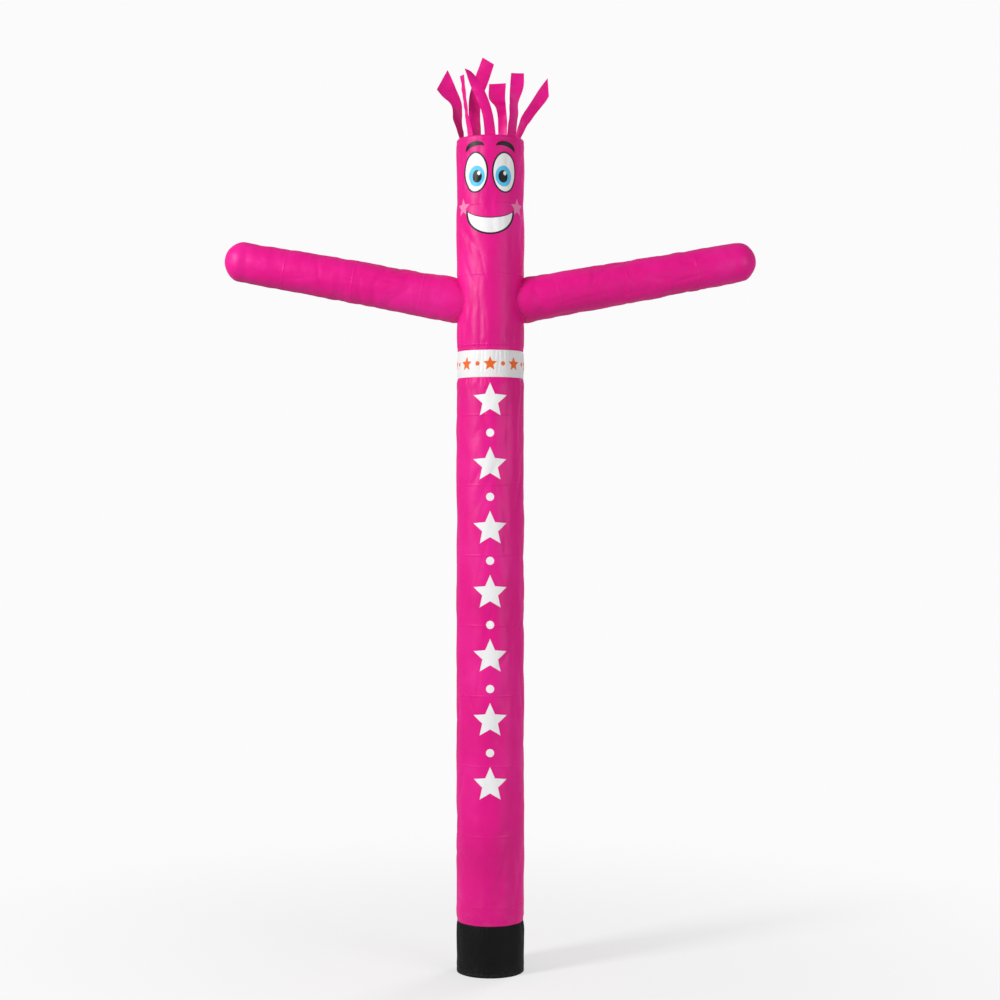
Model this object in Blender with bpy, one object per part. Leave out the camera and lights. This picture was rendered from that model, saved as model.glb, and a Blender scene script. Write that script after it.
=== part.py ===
"""Inflatable air dancer, standing fully blown up on its open base mouth.

A sewn nylon tube 18 in across and about 20 ft tall with its hair: a black base sleeve, a long lower
body, a white band, and an upper body with the head. Two tapered arms are sewn over holes in the upper
body. Seven cut strips stand on a tape that is sewn inside the open top rim.

Metres, +Z up, face towards -Y. The origin is the centre of the base mouth, on the ground.
"""

from math import atan2, ceil, cos, degrees, exp, pi, radians, sin, sqrt
from typing import NamedTuple

import bmesh
import bpy
from mathutils import Matrix, Vector

# Cloth
CLOTH = 0.0015
HEM_CLOTH = 0.0030
HEM_HEIGHT = 0.025
HEM_STEP = 0.002
GAP = 0.0003

# Tube: heights of the sewn seams and of the rim
TUBE_RADIUS = 0.4572 / 2
TUBE_SIDES = 36
SLEEVE_TOP = 0.344
BAND_BOTTOM = 4.011
BAND_TOP = 4.193
RIM_HEIGHT = 5.629
SEAM_HEIGHTS = (SLEEVE_TOP, BAND_BOTTOM, BAND_TOP)

# Seams: the lower piece is tucked inside the upper one, and the stitching draws both in
LAP = 0.018
TUCK = CLOTH + GAP
TUCK_START = 0.006
TUCK_END = 0.001
SEAM_DRAW = 0.004
SEAM_EASE = 0.080
PUCKER_COUNT = 12
PUCKER_DEPTH = 0.0012

# Rim: the top hem curls in a little
RIM_DRAW = 0.009
RIM_CURL = (0.012, 0.005)
TAPE_HEIGHT = 0.030

# Ring spacing along each tube piece
LOWER_BODY_PITCH = 0.21
UPPER_BODY_PITCH = 0.13
SHORT_PIECE_PITCH = 0.09

# Arms: the axis crosses the tube's own axis and climbs outwards
ARM_SIDES = 20
ARM_AXIS_HEIGHT = 4.502
ARM_LIFT = radians(10.2)
ARM_ROOT_RADIUS = 0.1535
ARM_END_RADIUS = 0.134
ARM_END = 1.706
ARM_CAP_DEPTH = 0.122
ARM_CAP_RINGS = 5
ARM_TIP_RADIUS = 0.014
ARM_PITCH = 0.155
ARM_CUT_START = 0.110
ARM_ROOT_DRAW = 0.003
ARM_ROOT_EASE = 0.060
HOLE_MARGIN = 0.002
HOLE_REACH = (0.13, 0.32)

# Hair
STRIP_CLOTH = 0.0015
STRIP_STEPS = 3
TAPE_MAX_STEP = 20.0

PINK = (0.847, 0.0, 0.262, 1.0)
WHITE = (0.87, 0.87, 0.87, 1.0)
BLACK = (0.012, 0.012, 0.013, 1.0)


class Level(NamedTuple):
    """One ring of a tube piece: its height, how far its outer face is set in, and its thickness."""

    height: float
    inset: float = 0.0
    wall: float = CLOTH


class Fold(NamedTuple):
    """A soft trough in blown-up cloth.

    `angle` and `half_angle` are degrees round the tube, `along` and `half_length` metres along it,
    and `slant` is how many degrees the trough turns in each metre.
    """

    angle: float
    along: float
    half_angle: float
    half_length: float
    depth: float
    slant: float = 0.0


class Section(NamedTuple):
    """A section across a hair strip.

    `rise` is metres above the rim, `side` metres towards +X and `depth` metres towards +Y of the
    tube's axis. `turn` is the heading of the strip's width and `slant` its tilt, in degrees.
    """

    rise: float
    side: float
    depth: float
    width: float
    turn: float
    slant: float


class Strip(NamedTuple):
    """A hair strip: where it is sewn on, how wide it is there, and its sections going up."""

    root_angle: float
    root_width: float
    sections: tuple


TUBE_FOLDS = (
    Fold(-66, 0.62, 12, 0.20, 0.0045, 24),
    Fold(54, 0.78, 13, 0.26, 0.0040, -18),
    Fold(150, 0.70, 13, 0.30, 0.0045, 12),
    Fold(-38, 1.55, 12, 0.45, 0.0035, 8),
    Fold(104, 1.80, 14, 0.50, 0.0050, -9),
    Fold(-128, 1.95, 14, 0.50, 0.0050, 7),
    Fold(48, 2.60, 12, 0.45, 0.0035, 7),
    Fold(-84, 2.95, 13, 0.42, 0.0045, -10),
    Fold(176, 2.85, 14, 0.55, 0.0050, 5),
    Fold(-46, 3.62, 12, 0.26, 0.0040, 20),
    Fold(66, 3.55, 13, 0.30, 0.0045, -16),
    Fold(44, 4.34, 11, 0.12, 0.0050, 70),
    Fold(-44, 4.32, 11, 0.13, 0.0055, -66),
    Fold(136, 4.36, 12, 0.13, 0.0050, -70),
    Fold(-136, 4.34, 12, 0.12, 0.0050, 70),
    Fold(48, 4.83, 11, 0.13, 0.0045, -48),
    Fold(-46, 4.86, 11, 0.14, 0.0045, 46),
    Fold(-150, 4.95, 14, 0.22, 0.0050, 10),
    Fold(130, 5.05, 14, 0.22, 0.0045, -10),
    Fold(-92, 5.30, 12, 0.16, 0.0040, 14),
    Fold(96, 5.24, 12, 0.18, 0.0040, -12),
)

# Degrees round an arm start at its front and go over the top of the left one and under the right
# one. Metres start at the tube's axis.
ARM_FOLDS = {
    "arm_left": (
        Fold(-30, 0.42, 20, 0.13, 0.0050, 40),
        Fold(70, 0.60, 24, 0.22, 0.0045, -30),
        Fold(170, 0.85, 26, 0.30, 0.0050, 10),
        Fold(-60, 1.15, 22, 0.26, 0.0045, -15),
        Fold(40, 1.50, 22, 0.18, 0.0040, 25),
    ),
    "arm_right": (
        Fold(-36, 0.45, 20, 0.14, 0.0045, 36),
        Fold(85, 0.52, 24, 0.18, 0.0050, -24),
        Fold(-150, 0.95, 26, 0.28, 0.0050, 12),
        Fold(20, 1.05, 22, 0.24, 0.0045, -18),
        Fold(-75, 1.48, 22, 0.20, 0.0040, 20),
    ),
}

STRIPS = (
    # far left, broad and cut to a slope
    Strip(-116, 0.066, (
        Section(0.150, -0.222, 0.100, 0.074, -140, 0),
        Section(0.262, -0.231, 0.090, 0.074, -165, -8),
        Section(0.345, -0.281, 0.070, 0.108, -180, -38),
        Section(0.425, -0.328, 0.050, 0.152, -180, -61),
    )),
    # thin, standing edge on
    Strip(-38.5, 0.046, (
        Section(0.145, -0.157, -0.158, 0.048, -62, 0),
        Section(0.276, -0.173, -0.145, 0.054, -64, 0),
        Section(0.416, -0.190, -0.125, 0.058, -64, 8),
    )),
    # front, leaning left across the tall one
    Strip(0, 0.074, (
        Section(0.134, -0.017, -0.212, 0.070, 4, 6),
        Section(0.233, -0.049, -0.205, 0.073, 0, 14),
        Section(0.326, -0.092, -0.200, 0.070, 0, 24),
        Section(0.435, -0.147, -0.190, 0.052, 24, -20),
    )),
    # tallest, at the back, leaning right
    Strip(-152, 0.084, (
        Section(0.215, -0.110, 0.180, 0.080, -172, 0),
        Section(0.336, -0.100, 0.168, 0.088, -180, 10),
        Section(0.443, -0.061, 0.150, 0.096, -180, 22),
        Section(0.572, -0.014, 0.130, 0.092, -180, 31),
    )),
    # back right, a broad flag on a narrow stem
    Strip(157, 0.068, (
        Section(0.160, 0.084, 0.192, 0.064, 170, 0),
        Section(0.262, 0.072, 0.165, 0.070, 180, -10),
        Section(0.322, 0.046, 0.135, 0.112, 180, -6),
        Section(0.414, 0.049, 0.120, 0.116, 180, -3),
    )),
    # front right, upright
    Strip(42.8, 0.078, (
        Section(0.132, 0.157, -0.165, 0.072, 36, 0),
        Section(0.223, 0.160, -0.170, 0.066, 24, 2),
        Section(0.322, 0.178, -0.172, 0.092, 8, 4),
        Section(0.420, 0.184, -0.168, 0.087, 6, 0),
    )),
    # far right, swept outwards and cut upright
    Strip(120.6, 0.066, (
        Section(0.108, 0.212, 0.116, 0.068, 140, 30),
        Section(0.185, 0.252, 0.124, 0.074, 165, 40),
        Section(0.275, 0.314, 0.132, 0.080, 180, 50),
        Section(0.395, 0.398, 0.140, 0.124, 180, 86),
    )),
)


def clear_scene():
    """Removes whatever objects the open file holds."""
    for thing in list(bpy.data.objects):
        bpy.data.objects.remove(thing, do_unlink=True)


def nylon(name, color, roughness):
    """Makes a plain coated nylon."""
    material = bpy.data.materials.new(name)
    material.use_nodes = True
    shader = material.node_tree.nodes["Principled BSDF"]
    shader.inputs["Base Color"].default_value = color
    shader.inputs["Roughness"].default_value = roughness
    shader.inputs["Metallic"].default_value = 0.0
    return material


def smooth_step(value):
    """Eases a value from 0 to 1 and holds it outside."""
    held = min(max(value, 0.0), 1.0)
    return held * held * (3 - 2 * held)


def wrapped(angle):
    """Brings an angle in degrees between -180 and 180."""
    return (angle + 180) % 360 - 180


def trough_depth(folds, angle, along):
    """Adds up how deep a set of folds is at one place on the cloth."""
    depth = 0.0
    for fold in folds:
        across = wrapped(angle - fold.angle - fold.slant * (along - fold.along)) / fold.half_angle
        length = (along - fold.along) / fold.half_length
        depth += fold.depth * exp(-across * across - length * length)
    return depth


def seam_grip(height):
    """Tells how strongly the nearest seam draws the tube in: 1 in its lap, fading to 0."""
    grip = 0.0
    for seam in SEAM_HEIGHTS:
        distance = max(seam - TUCK_START - height, height - seam - LAP, 0.0)
        grip = max(grip, 1 - smooth_step(distance / SEAM_EASE))
    return grip


def skin_radius(angle, height):
    """Gives the radius of the tube's outer skin at an angle from its front and a height."""
    grip = seam_grip(height)
    uneven = 1 + 0.5 * sin(radians(3 * angle + 40 * height))
    puckers = PUCKER_DEPTH * grip * uneven * cos(radians(PUCKER_COUNT * angle))
    curl = max(height - RIM_HEIGHT + RIM_CURL[0], 0.0) / RIM_CURL[0]
    relief = (1 - grip) * trough_depth(TUBE_FOLDS, angle, height)
    return TUBE_RADIUS - SEAM_DRAW * grip + puckers - RIM_DRAW * curl * curl - relief


def arm_radius(name, angle, along):
    """Gives the radius of an arm's outer skin at an angle round it and a distance along it."""
    root = TUBE_RADIUS / cos(ARM_LIFT)
    share = (along - root) / (ARM_END - root)
    radius = ARM_ROOT_RADIUS + (ARM_END_RADIUS - ARM_ROOT_RADIUS) * share
    draw = ARM_ROOT_DRAW * (1 - smooth_step((along - root) / ARM_ROOT_EASE))
    return radius - draw - trough_depth(ARM_FOLDS[name], angle, along)


def front_angle(place):
    """Measures the angle of a point round the Z axis, from -Y towards +X."""
    return degrees(atan2(place.x, -place.y))


def around(angle, radius, height):
    """Places a point at an angle from the front, a radius and a height."""
    return Vector((radius * sin(radians(angle)), -radius * cos(radians(angle)), height))


def evenly(low, high, pitch):
    """Lists the heights that divide a stretch into equal steps no longer than the pitch."""
    count = ceil((high - low) / pitch)
    return [low + (high - low) * step / count for step in range(1, count)]


def lap_levels(seam):
    """Lists the levels of a piece's bottom hem, which laps over the piece below."""
    return [Level(seam), Level(seam + LAP), Level(seam + LAP + SEAM_EASE / 2), Level(seam + LAP + SEAM_EASE)]


def tuck_levels(seam):
    """Lists the levels of a piece's top edge, which is tucked inside the piece above."""
    return [
        Level(seam - TUCK_START - SEAM_EASE),
        Level(seam - TUCK_START - SEAM_EASE / 2),
        Level(seam - TUCK_START),
        Level(seam - TUCK_END, TUCK),
        Level(seam + LAP, TUCK),
    ]


def foot_levels():
    """Lists the levels of the base mouth's hem, from the ground up."""
    return [Level(0.0, 0.0, HEM_CLOTH), Level(HEM_HEIGHT, 0.0, HEM_CLOTH), Level(HEM_HEIGHT + HEM_STEP)]


def rim_levels():
    """Lists the levels of the top hem, up to the rim."""
    hem = RIM_HEIGHT - TAPE_HEIGHT
    levels = [Level(hem - HEM_STEP), Level(hem, 0.0, HEM_CLOTH)]
    for drop in (*RIM_CURL, 0.0):
        levels.append(Level(RIM_HEIGHT - drop, 0.0, HEM_CLOTH))
    return levels


def joined_levels(bottom, top, pitch):
    """Fills the plain stretch between a piece's bottom and top levels."""
    between = [Level(height) for height in evenly(bottom[-1].height, top[0].height, pitch)]
    return bottom + between + top


def starting_ring(bm, sides, place):
    """Draws a ring of edges and puts each of its points in place."""
    for point in bmesh.ops.create_circle(bm, segments=sides, radius=1.0)["verts"]:
        point.co = place(front_angle(point.co))
    return list(bm.edges)


def extruded_ring(bm, edges, place, inside=False):
    """Extrudes a ring of edges and puts each new point in place, by its angle round the ring.

    An inner skin runs back along its outer one, so its quads are split the other way. The two
    skins then fold along the same lines and stay parallel, and so do a skin and its grown copy.
    """
    new = bmesh.ops.extrude_edge_only(bm, edges=edges)["geom"]
    new_points = [item for item in new if isinstance(item, bmesh.types.BMVert)]
    new_edges = [item for item in new if isinstance(item, bmesh.types.BMEdge)]
    new_faces = [item for item in new if isinstance(item, bmesh.types.BMFace)]
    for point in new_points:
        point.co = place(front_angle(point.co))
    bmesh.ops.triangulate(bm, faces=new_faces, quad_method="ALTERNATE" if inside else "FIXED")
    return new_edges


def finished_object(bm, name, material=None, sharp_angle=35.0):
    """Turns a closed bmesh into a smooth-shaded object with its faces pointing out."""
    bmesh.ops.triangulate(bm, faces=bm.faces, quad_method="FIXED")
    bmesh.ops.recalc_face_normals(bm, faces=bm.faces)
    if bm.calc_volume(signed=True) < 0:
        bmesh.ops.reverse_faces(bm, faces=bm.faces)
    mesh = bpy.data.meshes.new(name)
    bm.to_mesh(mesh)
    bm.free()
    mesh.shade_smooth()
    mesh.set_sharp_from_angle(angle=radians(sharp_angle))
    thing = bpy.data.objects.new(name, mesh)
    bpy.context.collection.objects.link(thing)
    if material:
        mesh.materials.append(material)
    return thing


def cut_by(thing, cutter):
    """Cuts an object with a Boolean."""
    modifier = thing.modifiers.new(f"cut by {cutter.name}", "BOOLEAN")
    modifier.operation = "DIFFERENCE"
    modifier.solver = "EXACT"
    modifier.object = cutter


def tube_piece(name, levels, material):
    """Builds one length of the tube: up its outer skin, over its top edge and down its inner skin."""
    outer = [(level.height, level.inset) for level in levels]
    inner = [(level.height, level.inset + level.wall) for level in reversed(levels)]

    def on_skin(height, inset):
        return lambda angle: around(angle, skin_radius(angle, height) - inset, height)

    bm = bmesh.new()
    first = starting_ring(bm, TUBE_SIDES, on_skin(*outer[0]))
    ring = first
    for height, inset in outer[1:]:
        ring = extruded_ring(bm, ring, on_skin(height, inset))
    for height, inset in inner:
        ring = extruded_ring(bm, ring, on_skin(height, inset), inside=True)
    bmesh.ops.bridge_loops(bm, edges=first + ring)
    return finished_object(bm, name, material)


def arm_frame(side):
    """Places an arm: local +Z runs along its axis and local -Y stays its front."""
    middle = Matrix.Translation((0, 0, ARM_AXIS_HEIGHT))
    return middle @ Matrix.Rotation(side * (pi / 2 - ARM_LIFT), 4, "Y")


def cap_rings(radius, wall):
    """Lists along and radius of the rings round an arm's rounded end, from its tip down."""
    depth = ARM_CAP_DEPTH - wall
    rings = []
    for step in range(ARM_CAP_RINGS):
        share = step / ARM_CAP_RINGS
        reach = sqrt(1 - (ARM_TIP_RADIUS / radius) ** 2) * (1 - share)
        rings.append((ARM_END + depth * reach, radius * sqrt(1 - reach * reach)))
    return rings


def arm(name, side, material):
    """Builds a hollow arm from its tip to its root inside the tube, and back up its inner skin."""
    alongs = [ARM_END, *reversed(evenly(ARM_CUT_START, ARM_END, ARM_PITCH)), ARM_CUT_START]
    end_radius = arm_radius(name, 0, ARM_END)
    outer_cap = cap_rings(end_radius, 0.0)
    inner_cap = cap_rings(end_radius - CLOTH, CLOTH)

    def on_cap(along, radius):
        return lambda angle: around(angle, radius, along)

    def on_sleeve(along, inset):
        return lambda angle: around(angle, arm_radius(name, angle, along) - inset, along)

    bm = bmesh.new()
    ring = starting_ring(bm, ARM_SIDES, on_cap(*outer_cap[0]))
    bmesh.ops.contextual_create(bm, geom=ring)
    for along, radius in outer_cap[1:]:
        ring = extruded_ring(bm, ring, on_cap(along, radius))
    for along in alongs:
        ring = extruded_ring(bm, ring, on_sleeve(along, 0.0))
    for along in reversed(alongs):
        ring = extruded_ring(bm, ring, on_sleeve(along, CLOTH), inside=True)
    for along, radius in reversed(inner_cap):
        ring = extruded_ring(bm, ring, on_cap(along, radius), inside=True)
    bmesh.ops.contextual_create(bm, geom=ring)
    thing = finished_object(bm, name, material)
    thing.matrix_world = arm_frame(side)
    return thing


def filled_cutter(name, sides, places):
    """Makes a filled cutter through a stack of rings, each placed by its own function."""
    bm = bmesh.new()
    first = starting_ring(bm, sides, places[0])
    ring = first
    for place in places[1:]:
        ring = extruded_ring(bm, ring, place)
    bmesh.ops.contextual_create(bm, geom=first)
    bmesh.ops.contextual_create(bm, geom=ring)
    cutter = finished_object(bm, name)
    cutter.hide_render = True
    cutter.display_type = "WIRE"
    return cutter


def arm_hole_cutter(name, arm_name, side):
    """Makes the slanted plug that cuts an arm's hole through the upper body's wall."""

    def on_plug(along):
        radius = arm_radius(arm_name, 0, along) - CLOTH - HOLE_MARGIN
        return lambda angle: around(angle, radius, along)

    cutter = filled_cutter(name, ARM_SIDES, [on_plug(along) for along in HOLE_REACH])
    cutter.matrix_world = arm_frame(side)
    return cutter


def body_core_cutter(name, levels):
    """Makes the filled shape of the upper body, grown by the gap, that trims the arms' roots."""

    def on_grown_skin(height):
        return lambda angle: around(angle, skin_radius(angle, height) + GAP, height)

    return filled_cutter(name, TUBE_SIDES, [on_grown_skin(level.height) for level in levels])


def tape_radius(height, inset):
    """Gives the radius of the hair tape's corners, which fit inside the flats of the top hem."""
    inside = skin_radius(0, height) - HEM_CLOTH
    return inside * cos(pi / TUBE_SIDES) - GAP - inset


def strip_half_angle(strip):
    """Gives half the angle that a strip's root takes up on the tape, in degrees."""
    return degrees(strip.root_width / 2 / tape_radius(RIM_HEIGHT, 0.0))


def tape_corners():
    """Lists the tape's corner angles: two at each strip's root, and more where none stands."""
    edges = []
    for strip in STRIPS:
        half = strip_half_angle(strip)
        edges.append((strip.root_angle - half, strip.root_angle + half))
    edges.sort()
    corners = []
    for index, (start, end) in enumerate(edges):
        following = edges[index + 1][0] if index + 1 < len(edges) else edges[0][0] + 360
        corners += [start, end, *evenly(end, following, TAPE_MAX_STEP)]
    return corners


def root_section(strip):
    """Gives the section where a strip leaves the tape."""
    middle = tape_radius(RIM_HEIGHT, STRIP_CLOTH / 2) * cos(radians(strip_half_angle(strip)))
    place = around(strip.root_angle, middle, RIM_HEIGHT)
    return Section(0.0, place.x, place.y, strip.root_width, strip.root_angle, 0.0)


def smooth_sections(strip):
    """Draws a smooth curve through a strip's sections, from its root to its cut end."""
    rows = [Vector(section) for section in (root_section(strip), *strip.sections)]
    before = rows[0].copy()
    before[0] -= rows[1][0]
    rows = [before, *rows, rows[-1] * 2 - rows[-2]]
    sections = []
    for index in range(1, len(rows) - 2):
        early, start, end, late = rows[index - 1 : index + 3]
        for step in range(1, STRIP_STEPS + 1):
            t = step / STRIP_STEPS
            bend = (end - early) * t + (early * 2 - start * 5 + end * 4 - late) * t**2
            bend += (start * 3 - early - end * 3 + late) * t**3
            sections.append(Section(*(start + bend / 2)))
    return sections


def strip_corners(section, travel):
    """Gives a section's four corners, keyed by its face (out or in) and its end (start or end)."""
    turn = radians(section.turn)
    slant = radians(section.slant)
    across = Vector((cos(turn) * cos(slant), sin(turn) * cos(slant), sin(slant)))
    outwards = across.cross(travel).normalized()
    middle = Vector((section.side, section.depth, RIM_HEIGHT + section.rise))
    half_width = across * section.width / 2
    half_cloth = outwards * STRIP_CLOTH / 2
    return {
        (True, False): middle + half_cloth - half_width,
        (True, True): middle + half_cloth + half_width,
        (False, True): middle - half_cloth + half_width,
        (False, False): middle - half_cloth - half_width,
    }


def grow_strip(bm, strip):
    """Extrudes a strip from the tape's top edge, section by section."""
    bm.faces.ensure_lookup_table()
    root = root_section(strip)
    foot = Vector((root.side, root.depth, RIM_HEIGHT))
    face = min(bm.faces, key=lambda item: (item.calc_center_median() - foot).length)
    between_faces = tape_radius(RIM_HEIGHT, STRIP_CLOTH / 2)
    keys = []
    for corner in face.verts:
        beyond = wrapped(front_angle(corner.co) - strip.root_angle) > 0
        keys.append((corner.co.xy.length > between_faces, beyond))
    sections = smooth_sections(strip)
    centres = [foot] + [Vector((row.side, row.depth, RIM_HEIGHT + row.rise)) for row in sections]
    for index, section in enumerate(sections, start=1):
        travel = centres[min(index + 1, len(sections))] - centres[index - 1]
        corners = strip_corners(section, travel)
        before = dict(zip(keys, face.verts))
        face = bmesh.ops.extrude_discrete_faces(bm, faces=[face])["faces"][0]
        after = dict(zip(keys, face.verts))
        for key, corner in after.items():
            corner.co = corners[key]
        # Both broad faces fold along one diagonal, so a twisted strip keeps its thickness.
        for outer in (True, False):
            first, second = before[outer, False], after[outer, True]
            broad = (set(first.link_faces) & set(second.link_faces)).pop()
            bmesh.utils.face_split(broad, first, second)


def hair_fringe(material):
    """Builds the tape inside the top hem and the strips that stand on it."""
    heights = [RIM_HEIGHT - drop for drop in (TAPE_HEIGHT, *RIM_CURL, 0.0)]
    route = [(height, 0.0) for height in heights]
    route += [(height, STRIP_CLOTH) for height in reversed(heights)]
    corners = tape_corners()
    bm = bmesh.new()
    rings = []
    for height, inset in route:
        radius = tape_radius(height, inset)
        rings.append([bm.verts.new(around(angle, radius, height)) for angle in corners])
    for ring, following in zip(rings, rings[1:] + rings[:1]):
        for index in range(len(corners)):
            last = index - 1
            bm.faces.new((ring[last], ring[index], following[index], following[last]))
    bmesh.ops.recalc_face_normals(bm, faces=bm.faces)
    for strip in STRIPS:
        grow_strip(bm, strip)
    return finished_object(bm, "hair_fringe", material)


def build():
    """Builds the whole air dancer."""
    clear_scene()
    pink = nylon("pink_nylon", PINK, 0.42)
    white = nylon("white_nylon", WHITE, 0.45)
    black = nylon("black_nylon", BLACK, 0.55)

    tube_piece(
        "base_sleeve",
        joined_levels(foot_levels(), tuck_levels(SLEEVE_TOP), SHORT_PIECE_PITCH),
        black,
    )
    tube_piece(
        "lower_body",
        joined_levels(lap_levels(SLEEVE_TOP), tuck_levels(BAND_BOTTOM), LOWER_BODY_PITCH),
        pink,
    )
    tube_piece("white_band", lap_levels(BAND_BOTTOM)[:2] + tuck_levels(BAND_TOP)[1:], white)
    upper_levels = joined_levels(lap_levels(BAND_TOP), rim_levels(), UPPER_BODY_PITCH)
    upper_body = tube_piece("upper_body", upper_levels, pink)
    hair_fringe(pink)

    core = body_core_cutter("body_core_cutter", upper_levels)
    for name, side in (("arm_left", -1), ("arm_right", 1)):
        cut_by(arm(name, side, pink), core)
        cut_by(upper_body, arm_hole_cutter(f"{name}_hole_cutter", name, side))


build()
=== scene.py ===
"""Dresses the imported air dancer: its sewn cloth, its prints and stitching, and the studio.

Sizes are in metres. Angles round the tube or an arm are in degrees from the front (-Y). Each
sheet of cloth lies on its solid: the same sizes and the same tables of folds shape both.
"""

import logging
from abc import ABC, abstractmethod
from collections.abc import Callable, Sequence
from dataclasses import astuple, dataclass, field
from enum import Enum
from functools import cached_property, partial
from math import atan2, cos, degrees, hypot, pi, radians, sin
from random import Random

import bpy
import numpy as np
from mathutils import Matrix, Vector, noise


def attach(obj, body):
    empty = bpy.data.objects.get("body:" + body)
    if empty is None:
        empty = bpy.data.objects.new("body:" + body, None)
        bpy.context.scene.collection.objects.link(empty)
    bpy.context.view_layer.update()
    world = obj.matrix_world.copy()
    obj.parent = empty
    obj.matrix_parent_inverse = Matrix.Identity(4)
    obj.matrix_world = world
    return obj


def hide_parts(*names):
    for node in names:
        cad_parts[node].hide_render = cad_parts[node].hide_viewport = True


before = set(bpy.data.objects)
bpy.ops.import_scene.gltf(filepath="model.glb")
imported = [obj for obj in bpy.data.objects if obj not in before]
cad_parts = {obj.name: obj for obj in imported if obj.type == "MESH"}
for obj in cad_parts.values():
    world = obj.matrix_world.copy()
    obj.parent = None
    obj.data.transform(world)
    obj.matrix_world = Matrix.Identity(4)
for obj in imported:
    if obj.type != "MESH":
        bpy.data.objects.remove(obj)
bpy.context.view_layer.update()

log = logging.getLogger("air_dancer")

Array = np.ndarray
Row = tuple[float, float]
Stretch = tuple[float, float, float]
Curve = Callable[[Array], tuple[Array, Array]]
Stitching = list[tuple[Curve, float]]
Socket = bpy.types.NodeSocket
Tree = bpy.types.NodeTree

CLOTH_MAP = "cloth"
THICKNESS = 0.0007
WELD = 0.0001
CREASE_ANGLE = radians(50)
TUBE_RADIUS = 0.2286
TUBE_GIRTH = 2 * pi * TUBE_RADIUS
ARM_LIFT = radians(10.2)
SEAM_ALLOWANCE = 0.020


# ---------------------------------------------------------------- small helpers


def linear(code: str) -> tuple[float, float, float, float]:
    """Turns an sRGB hex code into a linear colour.

    Args:
        code: Six hex digits, such as "ED008C".

    Returns:
        Red, green, blue and alpha.
    """
    parts = [int(code[place : place + 2], 16) / 255 for place in (0, 2, 4)]
    bent = [part / 12.92 if part <= 0.04045 else ((part + 0.055) / 1.055) ** 2.4 for part in parts]
    return (*bent, 1.0)


def wrapped(angle: Array) -> Array:
    """Brings angles in degrees between -180 and 180."""
    return (angle + 180) % 360 - 180


def eased(value: Array) -> Array:
    """Eases values from 0 to 1 and holds them outside."""
    held = np.clip(value, 0.0, 1.0)
    return held * held * (3 - 2 * held)


def unit(vectors: Array) -> Array:
    """Scales vectors to length 1."""
    return vectors / np.maximum(np.linalg.norm(vectors, axis=-1, keepdims=True), 1e-9)


def around(angle: Array, radius: Array, height: Array) -> Array:
    """Places points round the Z axis, with their three coordinates on the last axis."""
    turn = np.radians(angle)
    return np.stack(np.broadcast_arrays(radius * np.sin(turn), -radius * np.cos(turn), height), -1)


def turn_and_reach(points: Array) -> tuple[Array, Array]:
    """Gives the angle of points round the Z axis, and how far they are from it."""
    turn = np.degrees(np.arctan2(points[..., 0], -points[..., 1]))
    return turn, np.hypot(points[..., 0], points[..., 1])


def crumpled(points: Array, wave: float) -> Array:
    """Gives a smooth uneven value at each point.

    Args:
        points: Places in metres, with their coordinates on the last axis.
        wave: How far apart the bumps are, in metres.

    Returns:
        The values, from about -1 to 1.
    """
    rows = (points / wave).reshape(-1, 3)
    values = [noise.noise(Vector(row)) for row in rows]
    return np.array(values).reshape(points.shape[:-1])


def spaced(stops: Sequence[Row]) -> list[float]:
    """Lists places along a piece of cloth.

    Args:
        stops: Pairs of a place and the widest step from there to the next stop.

    Returns:
        All the places, the stops among them.
    """
    places = [stops[0][0]]
    for (start, pitch), (end, _) in zip(stops, stops[1:]):
        count = max(1, round((end - start) / pitch))
        places += list(np.linspace(start, end, count + 1)[1:])
    return places


# ---------------------------------------------------------------- blowing cloth up


def spline(share: Array) -> tuple[Array, Array, Array, Array]:
    """Weighs the four neighbours of a place on a smooth curve.

    Args:
        share: How far the place is on its way from the second neighbour to the third.

    Returns:
        The weight of each neighbour.
    """
    square, cube = share**2, share**3
    first = (2 * square - share - cube) / 2
    second = (2 - 5 * square + 3 * cube) / 2
    third = (share + 4 * square - 3 * cube) / 2
    return first, second, third, (cube - square) / 2


@dataclass(frozen=True)
class Blown:
    """How far blowing a round piece up has moved its cloth.

    The moves are outwards, sideways and along the piece, in metres, at the rows and columns of
    an even grid that closes on itself.
    """

    moves: Array

    def at(self, angle: Array, share: Array) -> Array:
        """Reads the moves between the grid's corners, off a smooth surface through them.

        Args:
            angle: Degrees round the piece.
            share: How far along the piece, from 0 to 1.

        Returns:
            The three moves, on the last axis.
        """
        rows, columns = self.moves.shape[:2]
        column = (angle + 180) / 360 * columns
        column, row = np.broadcast_arrays(column, np.clip(share, 0, 1) * (rows - 1))
        left, under = np.floor(column).astype(int), np.floor(row).astype(int)
        total = 0.0
        for up, upright in zip(range(-1, 3), spline(row - under)):
            for right, level in zip(range(-1, 3), spline(column - left)):
                corner = self.moves[np.clip(under + up, 0, rows - 1), (left + right) % columns]
                total = total + (upright * level)[..., None] * corner
        return total


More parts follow.
